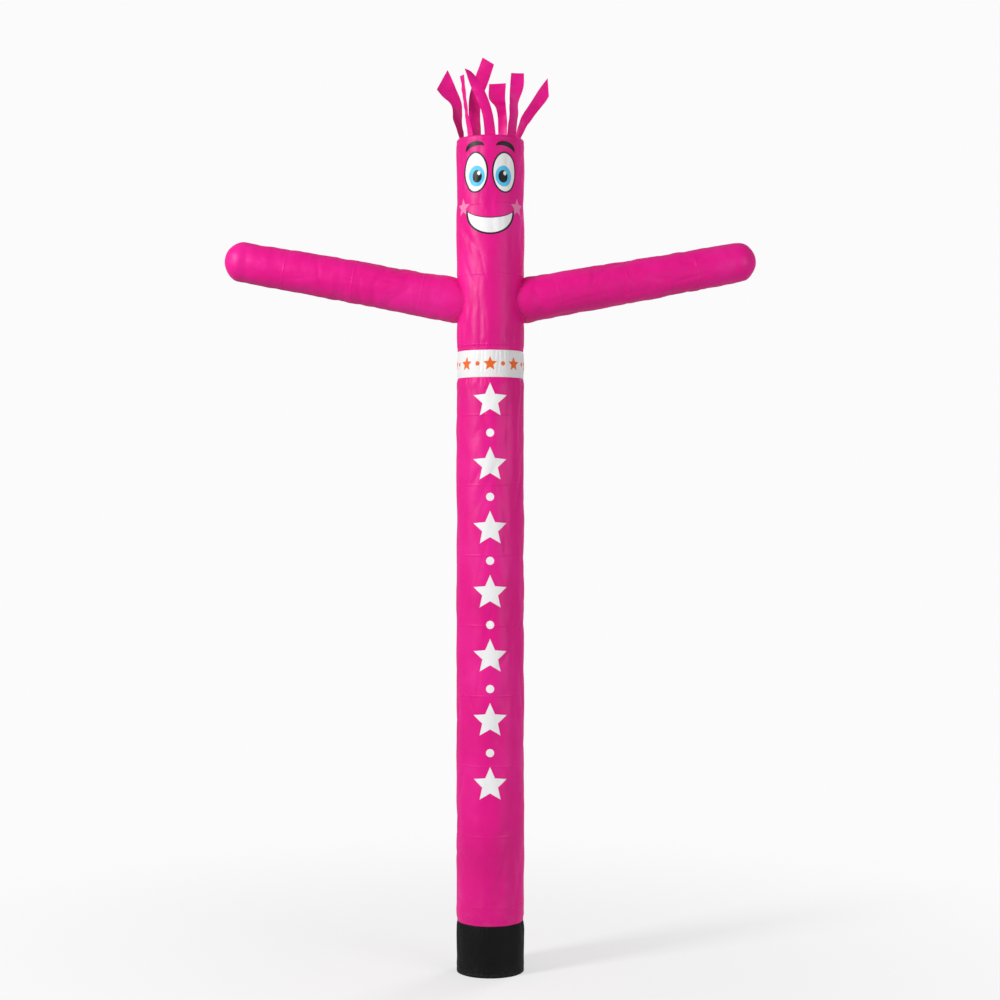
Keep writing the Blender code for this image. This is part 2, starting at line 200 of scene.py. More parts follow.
@dataclass(frozen=True)
class Blower:
    """Blows sewn cloth up in a simulation.

    The cloth starts a little too wide and uneven. Its seams draw in, the air presses it out, and
    it buckles into the puckers and pillows of a real blown-up tube.
    """

    cell: float = 0.0095
    pressure: float = 40.0
    stiffness: float = 60.0
    shear: float = 10.0
    bending: float = 0.002
    damping: float = 5.0
    air_drag: float = 2.0
    mass: float = 0.003
    hold: float = 50.0
    drawn_in: int = 6
    frames: int = 12
    uneven: float = 0.003
    uneven_wave: float = 0.08
    uneven_stretch: Stretch = (2.5, 2.5, 0.6)
    most_outwards: float = 0.012
    most_sideways: float = 0.006

    def grid(self, radius: float, length: float) -> tuple[Array, Array]:
        """Lists the columns and rows of an even grid over a round piece.

        Args:
            radius: The piece's radius.
            length: How long it is.

        Returns:
            The angle of each column, and how far along each row is, from 0 to 1.
        """
        columns = round(2 * pi * radius / self.cell)
        angle = (np.arange(columns) * 360 / columns - 180)[None, :]
        return angle, np.linspace(0, 1, round(length / self.cell) + 1)[:, None]

    def loose(self, cut: Array, sewn: Array, held: Array) -> bpy.types.Object:
        """Makes the loose cloth, with a shape key that draws its seams in.

        Args:
            cut: Where the points start, by row and column.
            sewn: Where the seams hold them.
            held: Which points a seam holds.

        Returns:
            The cloth, with its key set over the first frames.
        """
        numbers = np.arange(held.size).reshape(held.shape)
        beside = np.roll(numbers, -1, 1)
        faces = np.stack([numbers[:-1], beside[:-1], beside[1:], numbers[1:]], -1).reshape(-1, 4)
        mesh = bpy.data.meshes.new("loose_cloth")
        mesh.from_pydata(cut.reshape(-1, 3), [], faces.tolist())
        cloth = bpy.data.objects.new("loose_cloth", mesh)
        bpy.context.scene.collection.objects.link(cloth)
        cloth.vertex_groups.new(name="sewn").add(numbers[held].tolist(), 1.0, "REPLACE")
        cloth.shape_key_add(name="cut", from_mix=False)
        key = cloth.shape_key_add(name="sewn", from_mix=False)
        drawn = np.where(held[..., None], sewn, cut).astype(np.float32)
        key.data.foreach_set("co", drawn.ravel())
        for frame_number, value in ((1, 0.0), (self.drawn_in, 1.0)):
            key.value = value
            key.keyframe_insert("value", frame=frame_number)
        return cloth

    def simulate(self, cloth: bpy.types.Object) -> Array:
        """Runs the simulation on the loose cloth, and takes the cloth away.

        Args:
            cloth: The loose cloth.

        Returns:
            Where its points end.
        """
        modifier = cloth.modifiers.new("cloth", "CLOTH")
        modifier.point_cache.frame_end = self.frames
        modifier.collision_settings.use_collision = False
        settings = modifier.settings
        settings.mass = self.mass
        settings.tension_stiffness = settings.compression_stiffness = self.stiffness
        settings.shear_stiffness = self.shear
        settings.bending_stiffness = self.bending
        settings.tension_damping = settings.compression_damping = self.damping
        settings.shear_damping = self.damping
        settings.bending_damping = 0.0
        settings.air_damping = self.air_drag
        settings.use_pressure = True
        settings.uniform_pressure_force = self.pressure
        settings.vertex_group_mass = "sewn"
        settings.pin_stiffness = self.hold
        settings.effector_weights.gravity = 0
        scene, mesh = bpy.context.scene, cloth.data
        for frame_number in range(1, self.frames + 1):
            scene.frame_set(frame_number)
        result = cloth.evaluated_get(bpy.context.evaluated_depsgraph_get()).data
        places = np.empty(len(mesh.vertices) * 3, np.float32)
        result.vertices.foreach_get("co", places)
        action = mesh.shape_keys.animation_data.action
        bpy.data.objects.remove(cloth)
        bpy.data.meshes.remove(mesh)
        bpy.data.actions.remove(action)
        scene.frame_set(1)
        return places.astype(float)

    def blow(
        self, angle: Array, along: Array, base: Array, cut: Array, sewn: Array, held: Array
    ) -> Blown:
        """Blows a round piece of cloth up.

        Args:
            angle: Degrees round the piece, by row and column.
            along: Metres along it.
            base: The radius that the moves are measured from.
            cut: The radius of the loose cloth.
            sewn: The radius where a seam holds it.
            held: Which points a seam holds.

        Returns:
            The moves of the blown-up cloth.
        """
        points = around(angle, cut, along) * self.uneven_stretch
        uneven = self.uneven * crumpled(points, self.uneven_wave)
        loose = self.loose(around(angle, cut + uneven, along), around(angle, sewn, along), held)
        places = self.simulate(loose).reshape(*held.shape, 3)
        turned, radius = turn_and_reach(places)
        outwards = np.clip(radius - base, -self.most_outwards, self.most_outwards)
        most = self.most_sideways
        sideways = np.clip(np.radians(wrapped(turned - angle)) * radius, -most, most)
        onwards = np.clip(places[..., 2] - along, -most, most)
        log.info("blown up: outwards %.1f to %.1f mm", outwards.min() * 1000, outwards.max() * 1000)
        return Blown(np.stack([outwards, sideways, onwards], -1))


# ---------------------------------------------------------------- how cloth creases


@dataclass(frozen=True)
class Fold:
    """A soft trough in blown-up cloth.

    The angle and half_angle are degrees round the piece, along and half_length metres along it.
    The slant is how many degrees the trough turns in each metre. An edge of 2 gives the trough a
    round bottom, and nearer 1 it is a crease.
    """

    angle: float
    along: float
    half_angle: float
    half_length: float
    depth: float
    slant: float = 0.0
    edge: float = 2.0

    def depth_at(self, angle: Array, along: Array) -> Array:
        """Gives how deep this fold is at each place.

        Args:
            angle: Degrees round the piece.
            along: Metres along it.

        Returns:
            The depth in metres.
        """
        across = wrapped(angle - self.angle - self.slant * (along - self.along)) / self.half_angle
        length = (along - self.along) / self.half_length
        return self.depth * np.exp(-(np.abs(across) ** self.edge) - length**2)


@dataclass(frozen=True)
class Pucker:
    """A pinched trough where a seam has gathered the cloth beside it."""

    angle: float
    half_angle: float
    depth: float
    above: float
    below: float
    lean: float
    fade: float = 1.6

    def depth_at(self, angle: Array, away: Array) -> Array:
        """Gives how deep this pucker is at each place.

        Args:
            angle: Degrees round the piece.
            away: Metres from the seam, less than 0 below it.

        Returns:
            The depth in metres.
        """
        across = wrapped(angle - self.angle - self.lean * away) / self.half_angle
        reach = np.where(away > 0, self.above, self.below)
        return self.depth * np.exp(-(across**2) - np.abs(away / reach) ** self.fade)


def pressed(troughs: Sequence[Fold | Pucker], angle: Array, along: Array) -> Array:
    """Adds up how deep some folds or puckers are at each place."""
    return sum(trough.depth_at(angle, along) for trough in troughs)


@dataclass(frozen=True)
class Gathers:
    """The uneven row of puckers that one seam draws into the cloth on both its sides.

    The flat share of their depth is left under the stitches, and ease is how soon they are full.
    """

    seed: int
    radius: float
    depth: Row
    reach: Row = (0.025, 0.105)
    flat: float = 0.45
    ease: float = 0.012
    pitch: float = 0.034
    stray: float = 0.38
    unevenness: float = 1.5
    half_width: Row = (0.006, 0.011)
    lean: float = 22.0

    @cached_property
    def puckers(self) -> list[Pucker]:
        """Lists the seam's puckers, spaced unevenly round it. Strong ones reach further."""
        dice = Random(self.seed)
        count = round(2 * pi * self.radius / self.pitch)
        made = []
        for index in range(count):
            strength = dice.random() ** self.unevenness
            made.append(
                Pucker(
                    angle=(index + dice.uniform(-self.stray, self.stray)) * 360 / count,
                    half_angle=dice.uniform(*self.half_width) * degrees(1 / self.radius),
                    depth=self.depth[0] + (self.depth[1] - self.depth[0]) * strength,
                    above=dice.uniform(*self.reach) * (0.6 + 0.6 * strength),
                    below=dice.uniform(*self.reach) * (0.6 + 0.6 * strength),
                    lean=dice.uniform(-self.lean, self.lean),
                )
            )
        return made

    def depth_at(self, angle: Array, away: Array, beside: Array) -> Array:
        """Gives their depth, some metres away from the seam's edge and beside its stitches."""
        free = self.flat + (1 - self.flat) * eased(beside / self.ease)
        return free * pressed(self.puckers, angle, away)


@dataclass(frozen=True)
class Creases:
    """The creases that are left in cloth that is folded away and blown up again."""

    seed: int
    radius: float
    low: float
    high: float
    count: int
    half_width: Row = (0.008, 0.020)
    half_length: Row = (0.05, 0.26)
    depth: Row = (0.0008, 0.0030)
    slant: float = 110.0
    edge: float = 1.35

    def folds(self) -> list[Fold]:
        """Scatters the creases over the cloth.

        Returns:
            All of them.
        """
        dice = Random(self.seed)
        return [
            Fold(
                angle=dice.uniform(-180, 180),
                along=dice.uniform(self.low, self.high),
                half_angle=dice.uniform(*self.half_width) * degrees(1 / self.radius),
                half_length=dice.uniform(*self.half_length),
                depth=dice.uniform(*self.depth),
                slant=dice.triangular(-self.slant, self.slant, 0),
                edge=self.edge,
            )
            for _ in range(self.count)
        ]


@dataclass(frozen=True)
class Slack:
    """How cloth that is a little too full lies: crumples, and wandering creases between pillows.

    The first crumple is coarse and the second fine. Each stretch says how much shorter than the
    wave they are along X, Y and Z. The width is a crease's reach to each side, as a share of its
    wave. The creases come and go in patches, which have their own part of the noise.
    """

    deepest: float
    crumple: float
    crumple_wave: float
    coarse: Stretch
    fine: Stretch
    crease: float
    crease_wave: float
    crease_stretch: Stretch
    width: float
    patch_start: float = 31.7
    patch_wave: float = 1.6
    patch_edge: float = 2.2
    patch_share: float = 0.62

    def creased(self, points: Array) -> Array:
        """Draws the wandering creases.

        Args:
            points: Places in metres.

        Returns:
            Values from 0 to 1.
        """
        line = np.exp(-np.abs(crumpled(points, self.crease_wave)) / self.width)
        patches = crumpled(points + self.patch_start, self.crease_wave * self.patch_wave)
        return line * eased(patches * self.patch_edge + self.patch_share)

    def depth_at(self, points: Array, pressed_in: Array) -> Array:
        """Adds the slack to folds that press the cloth in, and limits them together.

        Args:
            points: Places in metres.
            pressed_in: How deep the folds are there.

        Returns:
            The depth in metres.
        """
        depth = pressed_in + self.crumple * crumpled(points * self.coarse, self.crumple_wave)
        depth = depth + self.crumple * crumpled(points * self.fine, self.crumple_wave) / 3
        depth = depth + self.crease * self.creased(points * self.crease_stretch)
        return self.deepest * np.tanh(depth / self.deepest)


TUBE_SLACK = Slack(
    0.012, 0.0048, 0.11, (1, 1, 0.45), (2.2, 2.2, 1.1), 0.0062, 0.22, (1, 1, 0.55), 0.15
)
ARM_SLACK = Slack(
    0.010, 0.0034, 0.085, (0.8, 0.8, 1.3), (1.7, 1.7, 2.6), 0.0050, 0.16, (0.6, 0.6, 1.3), 0.17
)


@dataclass(frozen=True)
class BackSeam:
    """The felled seam that closes a rolled panel along its back. Its sizes are in degrees."""

    half_angle: float
    slope: float
    lip: float
    lift: float = 0.0009

    def raised(self, angle: Array) -> Array:
        """Gives how far the seam stands out at each angle."""
        inside = self.half_angle - np.abs(wrapped(angle - 180))
        return self.lift * eased(inside / self.slope + 0.5)

    def columns(self, count: int) -> Array:
        """Lists the angles of a panel's columns.

        Args:
            count: How many there are between the edges of the seam.

        Returns:
            All the angles, with a column at each edge of the seam's two slopes.
        """
        edge, clear = 180 - self.half_angle, 6 * self.lip
        plain = np.linspace(-edge + clear, edge - clear, count)
        seam = np.array([-180, -180 + self.half_angle / 2, -edge - self.lip, -edge + self.lip])
        return np.concatenate([seam, plain, -seam[::-1]])


TUBE_FOLDS = (
    Fold(-66, 0.62, 12, 0.20, 0.0045, 24),
    Fold(54, 0.78, 13, 0.26, 0.0040, -18),
    Fold(150, 0.70, 13, 0.30, 0.0045, 12),
    Fold(-38, 1.55, 12, 0.45, 0.0035, 8),
    Fold(104, 1.80, 14, 0.50, 0.0050, -9),
    Fold(-128, 1.95, 14, 0.50, 0.0050, 7),
    Fold(48, 2.60, 12, 0.45, 0.0035, 7),
    Fold(-84, 2.95, 13, 0.42, 0.0045, -10),
    Fold(176, 2.85, 14, 0.55, 0.0050, 5),
    Fold(-46, 3.62, 12, 0.26, 0.0040, 20),
    Fold(66, 3.55, 13, 0.30, 0.0045, -16),
    Fold(44, 4.34, 11, 0.12, 0.0050, 70),
    Fold(-44, 4.32, 11, 0.13, 0.0055, -66),
    Fold(136, 4.36, 12, 0.13, 0.0050, -70),
    Fold(-136, 4.34, 12, 0.12, 0.0050, 70),
    Fold(48, 4.83, 11, 0.13, 0.0045, -48),
    Fold(-46, 4.86, 11, 0.14, 0.0045, 46),
    Fold(-150, 4.95, 14, 0.22, 0.0050, 10),
    Fold(130, 5.05, 14, 0.22, 0.0045, -10),
    Fold(-92, 5.30, 12, 0.16, 0.0040, 14),
    Fold(96, 5.24, 12, 0.18, 0.0040, -12),
)


class Side(Enum):
    """The side of the dancer that an arm is on, seen from the front."""

    LEFT = -1
    RIGHT = 1


ARM_FOLDS = {
    Side.LEFT: (
        Fold(-30, 0.42, 20, 0.13, 0.0050, 40),
        Fold(70, 0.60, 24, 0.22, 0.0045, -30),
        Fold(170, 0.85, 26, 0.30, 0.0050, 10),
        Fold(-60, 1.15, 22, 0.26, 0.0045, -15),
        Fold(40, 1.50, 22, 0.18, 0.0040, 25),
    ),
    Side.RIGHT: (
        Fold(-36, 0.45, 20, 0.14, 0.0045, 36),
        Fold(85, 0.52, 24, 0.18, 0.0050, -24),
        Fold(-150, 0.95, 26, 0.28, 0.0050, 12),
        Fold(20, 1.05, 22, 0.24, 0.0045, -18),
        Fold(-75, 1.48, 22, 0.20, 0.0040, 20),
    ),
}


@dataclass
class ArmSkin:
    """The outer skin of one blown-up arm, as a surface that points can be placed on."""

    side: Side
    axis_height: float = 4.502
    root_radius: float = 0.1535
    end_radius: float = 0.134
    root_at: float = TUBE_RADIUS / cos(ARM_LIFT)
    end_at: float = 1.706
    cap_depth: float = 0.122
    root_draw: float = 0.003
    root_ease: float = 0.060
    fullness: float = 0.0018
    tip_gathers: int = 9
    tip_bunching: float = 60.0
    tip_depth: float = 0.0030
    tip_reach: float = 0.60
    held_root: float = 0.011
    held_end: float = 0.002
    seam: BackSeam = BackSeam(2.6, 0.5, 0.3)
    blown: Blown | None = None

    @cached_property
    def gathers(self) -> Gathers:
        """The gathers of the root seam in the arm's own cloth."""
        seed = 40 + self.side.value
        return Gathers(seed, self.root_radius, (0.0010, 0.0042), (0.03, 0.15), 0.35, 0.014)

    @cached_property
    def creases(self) -> list[Fold]:
        """The light creases of packing, and deeper ones where the cloth is slack."""
        radius, seed = (self.root_radius + self.end_radius) / 2, 40 + self.side.value
        light = Creases(seed + 7, radius, 0.30, self.end_at, 46)
        deep = Creases(
            seed=seed + 17,
            radius=radius,
            low=0.34,
            high=self.end_at - 0.05,
            count=22,
            half_width=(0.013, 0.025),
            half_length=(0.05, 0.16),
            depth=(0.0030, 0.0070),
            slant=300,
        )
        return light.folds() + deep.folds()

    @cached_property
    def turn(self) -> Array:
        """The matrix from the arm's own axes, +Z along it, to the dancer's."""
        middle = Matrix.Translation((0, 0, self.axis_height))
        return np.array(middle @ Matrix.Rotation(self.side.value * (pi / 2 - ARM_LIFT), 4, "Y"))

    def to_dancer(self, points: Array) -> Array:
        """Moves points from the arm's own axes to the dancer's."""
        return points @ self.turn[:3, :3].T + self.turn[:3, 3]

    def seen_from_axis(self, points: Array) -> tuple[Array, Array]:
        """Sees points on the dancer from the arm's axis.

        Args:
            points: Places in the dancer's axes.

        Returns:
            Their angles round the arm, and how far they are outside its wall. Points on the far
            side of the dancer count as a metre away.
        """
        local = (points - self.turn[:3, 3]) @ self.turn[:3, :3]
        angle, reach = turn_and_reach(local)
        away = reach - self.plain_radius(local[..., 2])
        return angle, np.where(local[..., 2] > 0, away, 1.0)

    def free_of_root(self, along: Array) -> Array:
        """Tells how free the cloth is of the root seam: 0 at it, rising to 1."""
        return eased((along - self.root_at) / self.root_ease)

    def plain_radius(self, along: Array) -> Array:
        """Gives the arm's radius before any fold.

        Args:
            along: Metres along the arm from the tube's axis.

        Returns:
            The radius in metres.
        """
        share = (along - self.root_at) / (self.end_at - self.root_at)
        free = self.free_of_root(along)
        draw = self.root_draw * (1 - free) - self.fullness * free
        return self.root_radius + (self.end_radius - self.root_radius) * share - draw

    def capped_radius(self, along: Array) -> Array:
        """Gives the arm's plain radius, rounded off beyond its end."""
        reach = np.clip((along - self.end_at) / self.cap_depth, 0.0, 1.0)
        return self.plain_radius(np.minimum(along, self.end_at)) * np.sqrt(1 - reach**2)

    def relief(self, angle: Array, along: Array) -> Array:
        """Gives how far the folds, creases and gathered tip press the skin in.

        Args:
            angle: Degrees round the arm.
            along: Metres along it from the tube's axis.

        Returns:
            The depth in metres, less the rise of the back seam.
        """
        depth = pressed(ARM_FOLDS[self.side], angle, along)
        # each arm has its own part of the noise
        points = around(angle, self.plain_radius(along), along + 10 * self.side.value)
        fine = ARM_SLACK.depth_at(points, pressed(self.creases, angle, along))
        to_tip = np.maximum((self.end_at + self.cap_depth - along) / self.cap_depth, 0.0)
        tip = self.tip_depth * np.exp(-((to_tip / self.tip_reach) ** 2))
        # the gathers meet at the tip unevenly: they bunch up twice on their way round
        bunched = self.tip_bunching * np.sin(np.radians(2 * angle))
        ripple = 0.5 + 0.5 * np.cos(np.radians(self.tip_gathers * angle + bunched))
        return depth + fine + tip * ripple - self.seam.raised(angle)

    def blow_up(self, root: Callable[[Array], Array], blower: Blower) -> None:
        """Blows the arm's cloth up.

        Args:
            root: Gives how far along the arm its root seam is at each angle.
            blower: The simulation.
        """
        angle, share = blower.grid(self.root_radius, self.end_at - self.root_at)
        start = root(angle)
        along = start + (self.end_at - start) * share
        angle, away = np.broadcast_to(angle, along.shape), along - start
        base = self.plain_radius(along)
        held = (away < self.held_root) | (along > self.end_at - self.held_end)
        spare = self.root_draw + self.fullness
        cut = base + spare * (1 - self.free_of_root(along))
        sewn = base - self.gathers.depth_at(angle, away, away)
        self.blown = blower.blow(angle, along, base, cut, sewn, held)

    def moves(self, angle: Array, along: Array, away: Array) -> Array:
        """Gives how far the air and the root seam move the cloth from its plain shape.

        Args:
            angle: Degrees round the arm.
            along: Metres along it from the tube's axis.
            away: Metres along it from its root seam.

        Returns:
            The moves outwards, sideways and along, on the last axis.
        """
        angle, along, away = np.broadcast_arrays(angle, along, away)
        if self.blown is None:
            still = np.zeros_like(away)
            return np.stack([-self.gathers.depth_at(angle, away, away), still, still], -1)
        share = away / (self.end_at - along + away)
        return self.blown.at(angle, share) * (along <= self.end_at)[..., None]

    def place(self, angle: Array, along: Array, away: Array, sunk: Array = 0.0) -> Array:
        """Places points on the arm's skin.

        Args:
            angle: Degrees round the arm.
            along: Metres along it from the tube's axis.
            away: Metres along it from its root seam.
            sunk: How far below the skin the points lie.

        Returns:
            The places in the dancer's axes.
        """
        full = self.capped_radius(along)
        # towards its point the tip has no room for folds
        slim = np.clip(full / (0.5 * self.end_radius), 0.0, 1.0)
        moves = self.moves(angle, along, away)
        radius = full + moves[..., 0] - slim * (self.relief(angle, along) + sunk)
        turned = angle + np.degrees(moves[..., 1] / self.root_radius)
        return self.to_dancer(around(turned, np.maximum(radius, 0.0), along + moves[..., 2]))

    def root_place(self, angle: Array, along: Array) -> Array:
        """Places points on the arm as its root seam holds it.

        Args:
            angle: Degrees round the arm.
            along: Metres along it from the tube's axis.

        Returns:
            The places in the dancer's axes.
        """
        still = np.zeros_like(angle)
        held = self.plain_radius(along) - self.gathers.depth_at(angle, still, still)
        return self.to_dancer(around(angle, held - self.relief(angle, along), along))


@dataclass
class TubeSkin:
    """The outer skin of the blown-up tube, as a surface that points can be placed on.

    A seam and a hem keep only a share of the fine creases. The lengths are the two stretches with
    seams in them, which are blown up.
    """

    arms: dict[Side, ArmSkin]
    radius: float = TUBE_RADIUS
    sleeve_top: float = 0.344
    band_bottom: float = 4.011
    band_top: float = 4.193
    rim: float = 5.629
    hem: float = 0.030
    lap: float = 0.018
    tuck: float = 0.0018
    tuck_start: float = 0.006
    tuck_end: float = 0.001
    seam_draw: float = 0.006
    seam_ease: float = 0.080
    fullness: float = 0.0022
    scallops: int = 12
    scallop_depth: float = 0.0012
    rim_stitches: float = 0.026
    rim_draw: float = 0.009
    rim_curl: float = 0.012
    arm_dip: float = 0.0030
    arm_dip_reach: float = 0.030
    arm_reach: float = 0.40
    seam_keeps: float = 0.25
    hem_keeps: float = 0.15
    held_rim: float = 0.029
    held_by_arm: float = 0.005
    back: BackSeam = BackSeam(1.7, 0.3, 0.2)
    lengths: tuple[Row, ...] = ((0.0, 1.25), (3.30, 5.629))
    blown: list[Blown] = field(default_factory=list)

    @property
    def seams(self) -> tuple[float, ...]:
        """The heights of the three lapped seams."""
        return self.sleeve_top, self.band_bottom, self.band_top

    @cached_property
    def gathers(self) -> dict[float, Gathers]:
        """The gathers of every round seam, by the seam's height."""
        depths = {self.hem: (0.0004, 0.0016)}
        depths |= {height: (0.0008, 0.0034) for height in self.seams}
        depths[self.rim - self.rim_stitches] = (0.0004, 0.0022)
        return {
            height: Gathers(11 + order, self.radius, depth)
            for order, (height, depth) in enumerate(depths.items())
        }

    @cached_property
    def arm_gathers(self) -> dict[Side, Gathers]:
        """The gathers of each arm's root seam in the tube's cloth."""
        return {
            side: Gathers(60 + side.value, arm.root_radius, (0.0010, 0.0042), (0.02, 0.11), 0.3)
            for side, arm in self.arms.items()
        }

    @cached_property
    def creases(self) -> list[Fold]:
        """The light creases of packing, and deeper ones where the cloth is slack."""
        light = partial(Creases, radius=self.radius)
        deep = partial(
            light,
            half_width=(0.015, 0.030),
            half_length=(0.06, 0.24),
            depth=(0.0040, 0.0095),
            slant=220,
        )
        sets = (
            light(5, low=0.10, high=self.band_bottom, count=150),
            light(6, low=self.band_top, high=5.55, count=80),
            deep(7, low=0.50, high=self.band_bottom - 0.10, count=84),
            deep(8, low=self.band_top + 0.10, high=5.45, count=26),
        )
        return [fold for creases in sets for fold in creases.folds()]

    def seam_grip(self, height: Array) -> Array:
        """Tells how strongly the nearest seam draws the tube in.

        Args:
            height: Metres up the tube.

        Returns:
            1 in the seam's lap, fading to 0.
        """
        grip = np.zeros_like(height)
        for seam in self.seams:
            below = seam - self.tuck_start - height
            distance = np.maximum(np.maximum(below, height - seam - self.lap), 0.0)
            grip = np.maximum(grip, 1 - eased(distance / self.seam_ease))
        return grip

    def free_of_ends(self, height: Array) -> Array:
        """Tells how free the cloth is of the two hems: 0 in them, rising to 1."""
        low, high = height - self.hem, self.rim - self.hem - height
        return eased(low / self.seam_ease) * eased(high / self.seam_ease)

    def plain_radius(self, height: Array) -> Array:
        """Gives the tube's radius before any fold or pucker.

        Args:
            height: Metres up the tube.

        Returns:
            The radius in metres.
        """
        curl = np.maximum(height - self.rim + self.rim_curl, 0.0) / self.rim_curl
        drawn = (self.seam_draw + self.fullness) * self.seam_grip(height)
        full = self.radius + self.fullness * self.free_of_ends(height)
        return full - drawn - self.rim_draw * curl * curl

    def arm_relief(self, angle: Array, height: Array) -> Array:
        """Gives how far the seams of both arms draw the tube in around them.

        Args:
            angle: Degrees round the tube.
            height: Metres up it.

        Returns:
            The depth in metres.
        """
        depth = np.zeros(np.broadcast(angle, height).shape)
        points = around(angle, self.radius, height)
        for side, arm in self.arms.items():
            turn, away = arm.seen_from_axis(points)
            dip = self.arm_dip * np.exp(-((away / self.arm_dip_reach) ** 2))
            drawn = dip + self.arm_gathers[side].depth_at(turn, away, away)
            depth = depth + np.where(away < self.arm_reach, drawn, 0.0)
        return depth

    def sewn_relief(self, angle: Array, height: Array) -> Array:
        """Gives how far every seam's gathers press the skin in.

        Args:
            angle: Degrees round the tube.
            height: Metres up it.

        Returns:
            The depth in metres.
        """
        # the scallops grow and fade three times on their way round
        uneven = 1 + 0.5 * np.sin(np.radians(3 * angle + 40 * height))
        scallops = np.cos(np.radians(self.scallops * angle))
        depth = self.arm_relief(angle, height)
        depth = depth - self.scallop_depth * self.seam_grip(height) * uneven * scallops
        for seam, gathers in self.gathers.items():
            away = height - seam
            beside = np.abs(away - self.lap / 2) - self.lap / 2
            depth = depth + gathers.depth_at(angle, away, beside)
        return depth

    def relief(self, angle: Array, height: Array) -> Array:
        """Gives how far the folds and creases press the skin in.

        Args:
            angle: Degrees round the tube.
            height: Metres up it.

        Returns:
            The depth in metres, less the rise of the back seam.
        """
        loose = 1 - self.seam_grip(height)
        big = loose * pressed(TUBE_FOLDS, angle, height)
        points = around(angle, self.radius, height)
        fine = TUBE_SLACK.depth_at(points, pressed(self.creases, angle, height))
        fine = fine * (self.seam_keeps + (1 - self.seam_keeps) * loose)
        fine = fine * (self.hem_keeps + (1 - self.hem_keeps) * self.free_of_ends(height))
        return big + fine - self.back.raised(angle)

    def held_at(self, angle: Array, height: Array, cell: float) -> Array:
        """Tells which places a seam, a hem or the end of a blown-up length holds.

        Args:
            angle: Degrees round the tube.
            height: Metres up it.
            cell: How far apart the places are.

        Returns:
            True where the cloth is held.
        """
        held = (height < self.hem) | (height > self.rim - self.held_rim)
        for seam in self.seams:
            above, below = seam + self.lap + cell / 2, seam - self.tuck_start - cell / 2
            held = held | ((height > below) & (height < above))
        for edge in (self.lengths[0][1], self.lengths[1][0]):
            held = held | (np.abs(height - edge) < cell)
        points = around(angle, self.radius, height)
        for arm in self.arms.values():
            held = held | (arm.seen_from_axis(points)[1] < self.held_by_arm)
        return held

    def blow_up(self, blower: Blower) -> None:
        """Blows up the two lengths of the tube that have seams in them.

        Args:
            blower: The simulation.
        """
        for low, high in self.lengths:
            angle, share = blower.grid(self.radius, high - low)
            angle, height = np.broadcast_arrays(angle, np.linspace(low, high, len(share))[:, None])
            base = self.plain_radius(height)
            cut = np.full_like(base, self.radius + self.fullness)
            sewn = base - self.sewn_relief(angle, height)
            held = self.held_at(angle, height, blower.cell)
            self.blown.append(blower.blow(angle, height, base, cut, sewn, held))

    def moves(self, angle: Array, height: Array) -> Array:
        """Gives how far the air and the seams move the cloth from its plain shape.

        Args:
            angle: Degrees round the tube.
            height: Metres up it.

        Returns:
            The moves outwards, sideways and up, on the last axis.
        """
        angle, height = np.broadcast_arrays(np.asarray(angle, float), np.asarray(height, float))
        still = np.zeros_like(height)
        moves = np.stack([-self.sewn_relief(angle, height), still, still], -1)
        for blown, (low, high) in zip(self.blown, self.lengths):
            inside = ((height >= low) & (height <= high))[..., None]
            moves = np.where(inside, blown.at(angle, (height - low) / (high - low)), moves)
        return moves

    def radius_at(self, angle: Array, height: Array) -> Array:
        """Gives the radius of the tube's outer skin at each place."""
        pressed_in = self.relief(angle, height)
        return self.plain_radius(height) + self.moves(angle, height)[..., 0] - pressed_in

    def place(self, angle: Array, height: Array, sunk: Array = 0.0) -> Array:
        """Places points on the tube's skin.

        Args:
            angle: Degrees round the tube.
            height: Metres up it.
            sunk: How far below the skin the points lie.

        Returns:
            The places.
        """
        moves = self.moves(angle, height)
        radius = self.plain_radius(height) + moves[..., 0] - self.relief(angle, height) - sunk
        turned = angle + np.degrees(moves[..., 1] / self.radius)
        return around(turned, radius, height + moves[..., 2])


# ---------------------------------------------------------------- sewing meshes


class Held(Enum):
    """How a sheet of cloth is held."""

    HUNG = "hung"
    STRETCHED = "stretched"


class Slot(Enum):
    """The finishes that the record names."""

    PINK = "pink_nylon"
    WHITE = "white_nylon"
    BLACK = "black_nylon"


def active(thing: bpy.types.Object) -> None:
    """Selects one object alone and makes it the active one.

    Args:
        thing: The object.
    """
    bpy.ops.object.select_all(action="DESELECT")
    thing.select_set(True)
    bpy.context.view_layer.objects.active = thing


def corners_of(mesh: bpy.types.Mesh) -> Array:
    """Reads a mesh's points.

    Args:
        mesh: The mesh.

    Returns:
        The points, one in each row.
    """
    points = np.empty(len(mesh.vertices) * 3, np.float32)
    mesh.vertices.foreach_get("co", points)
    return points.reshape(-1, 3)


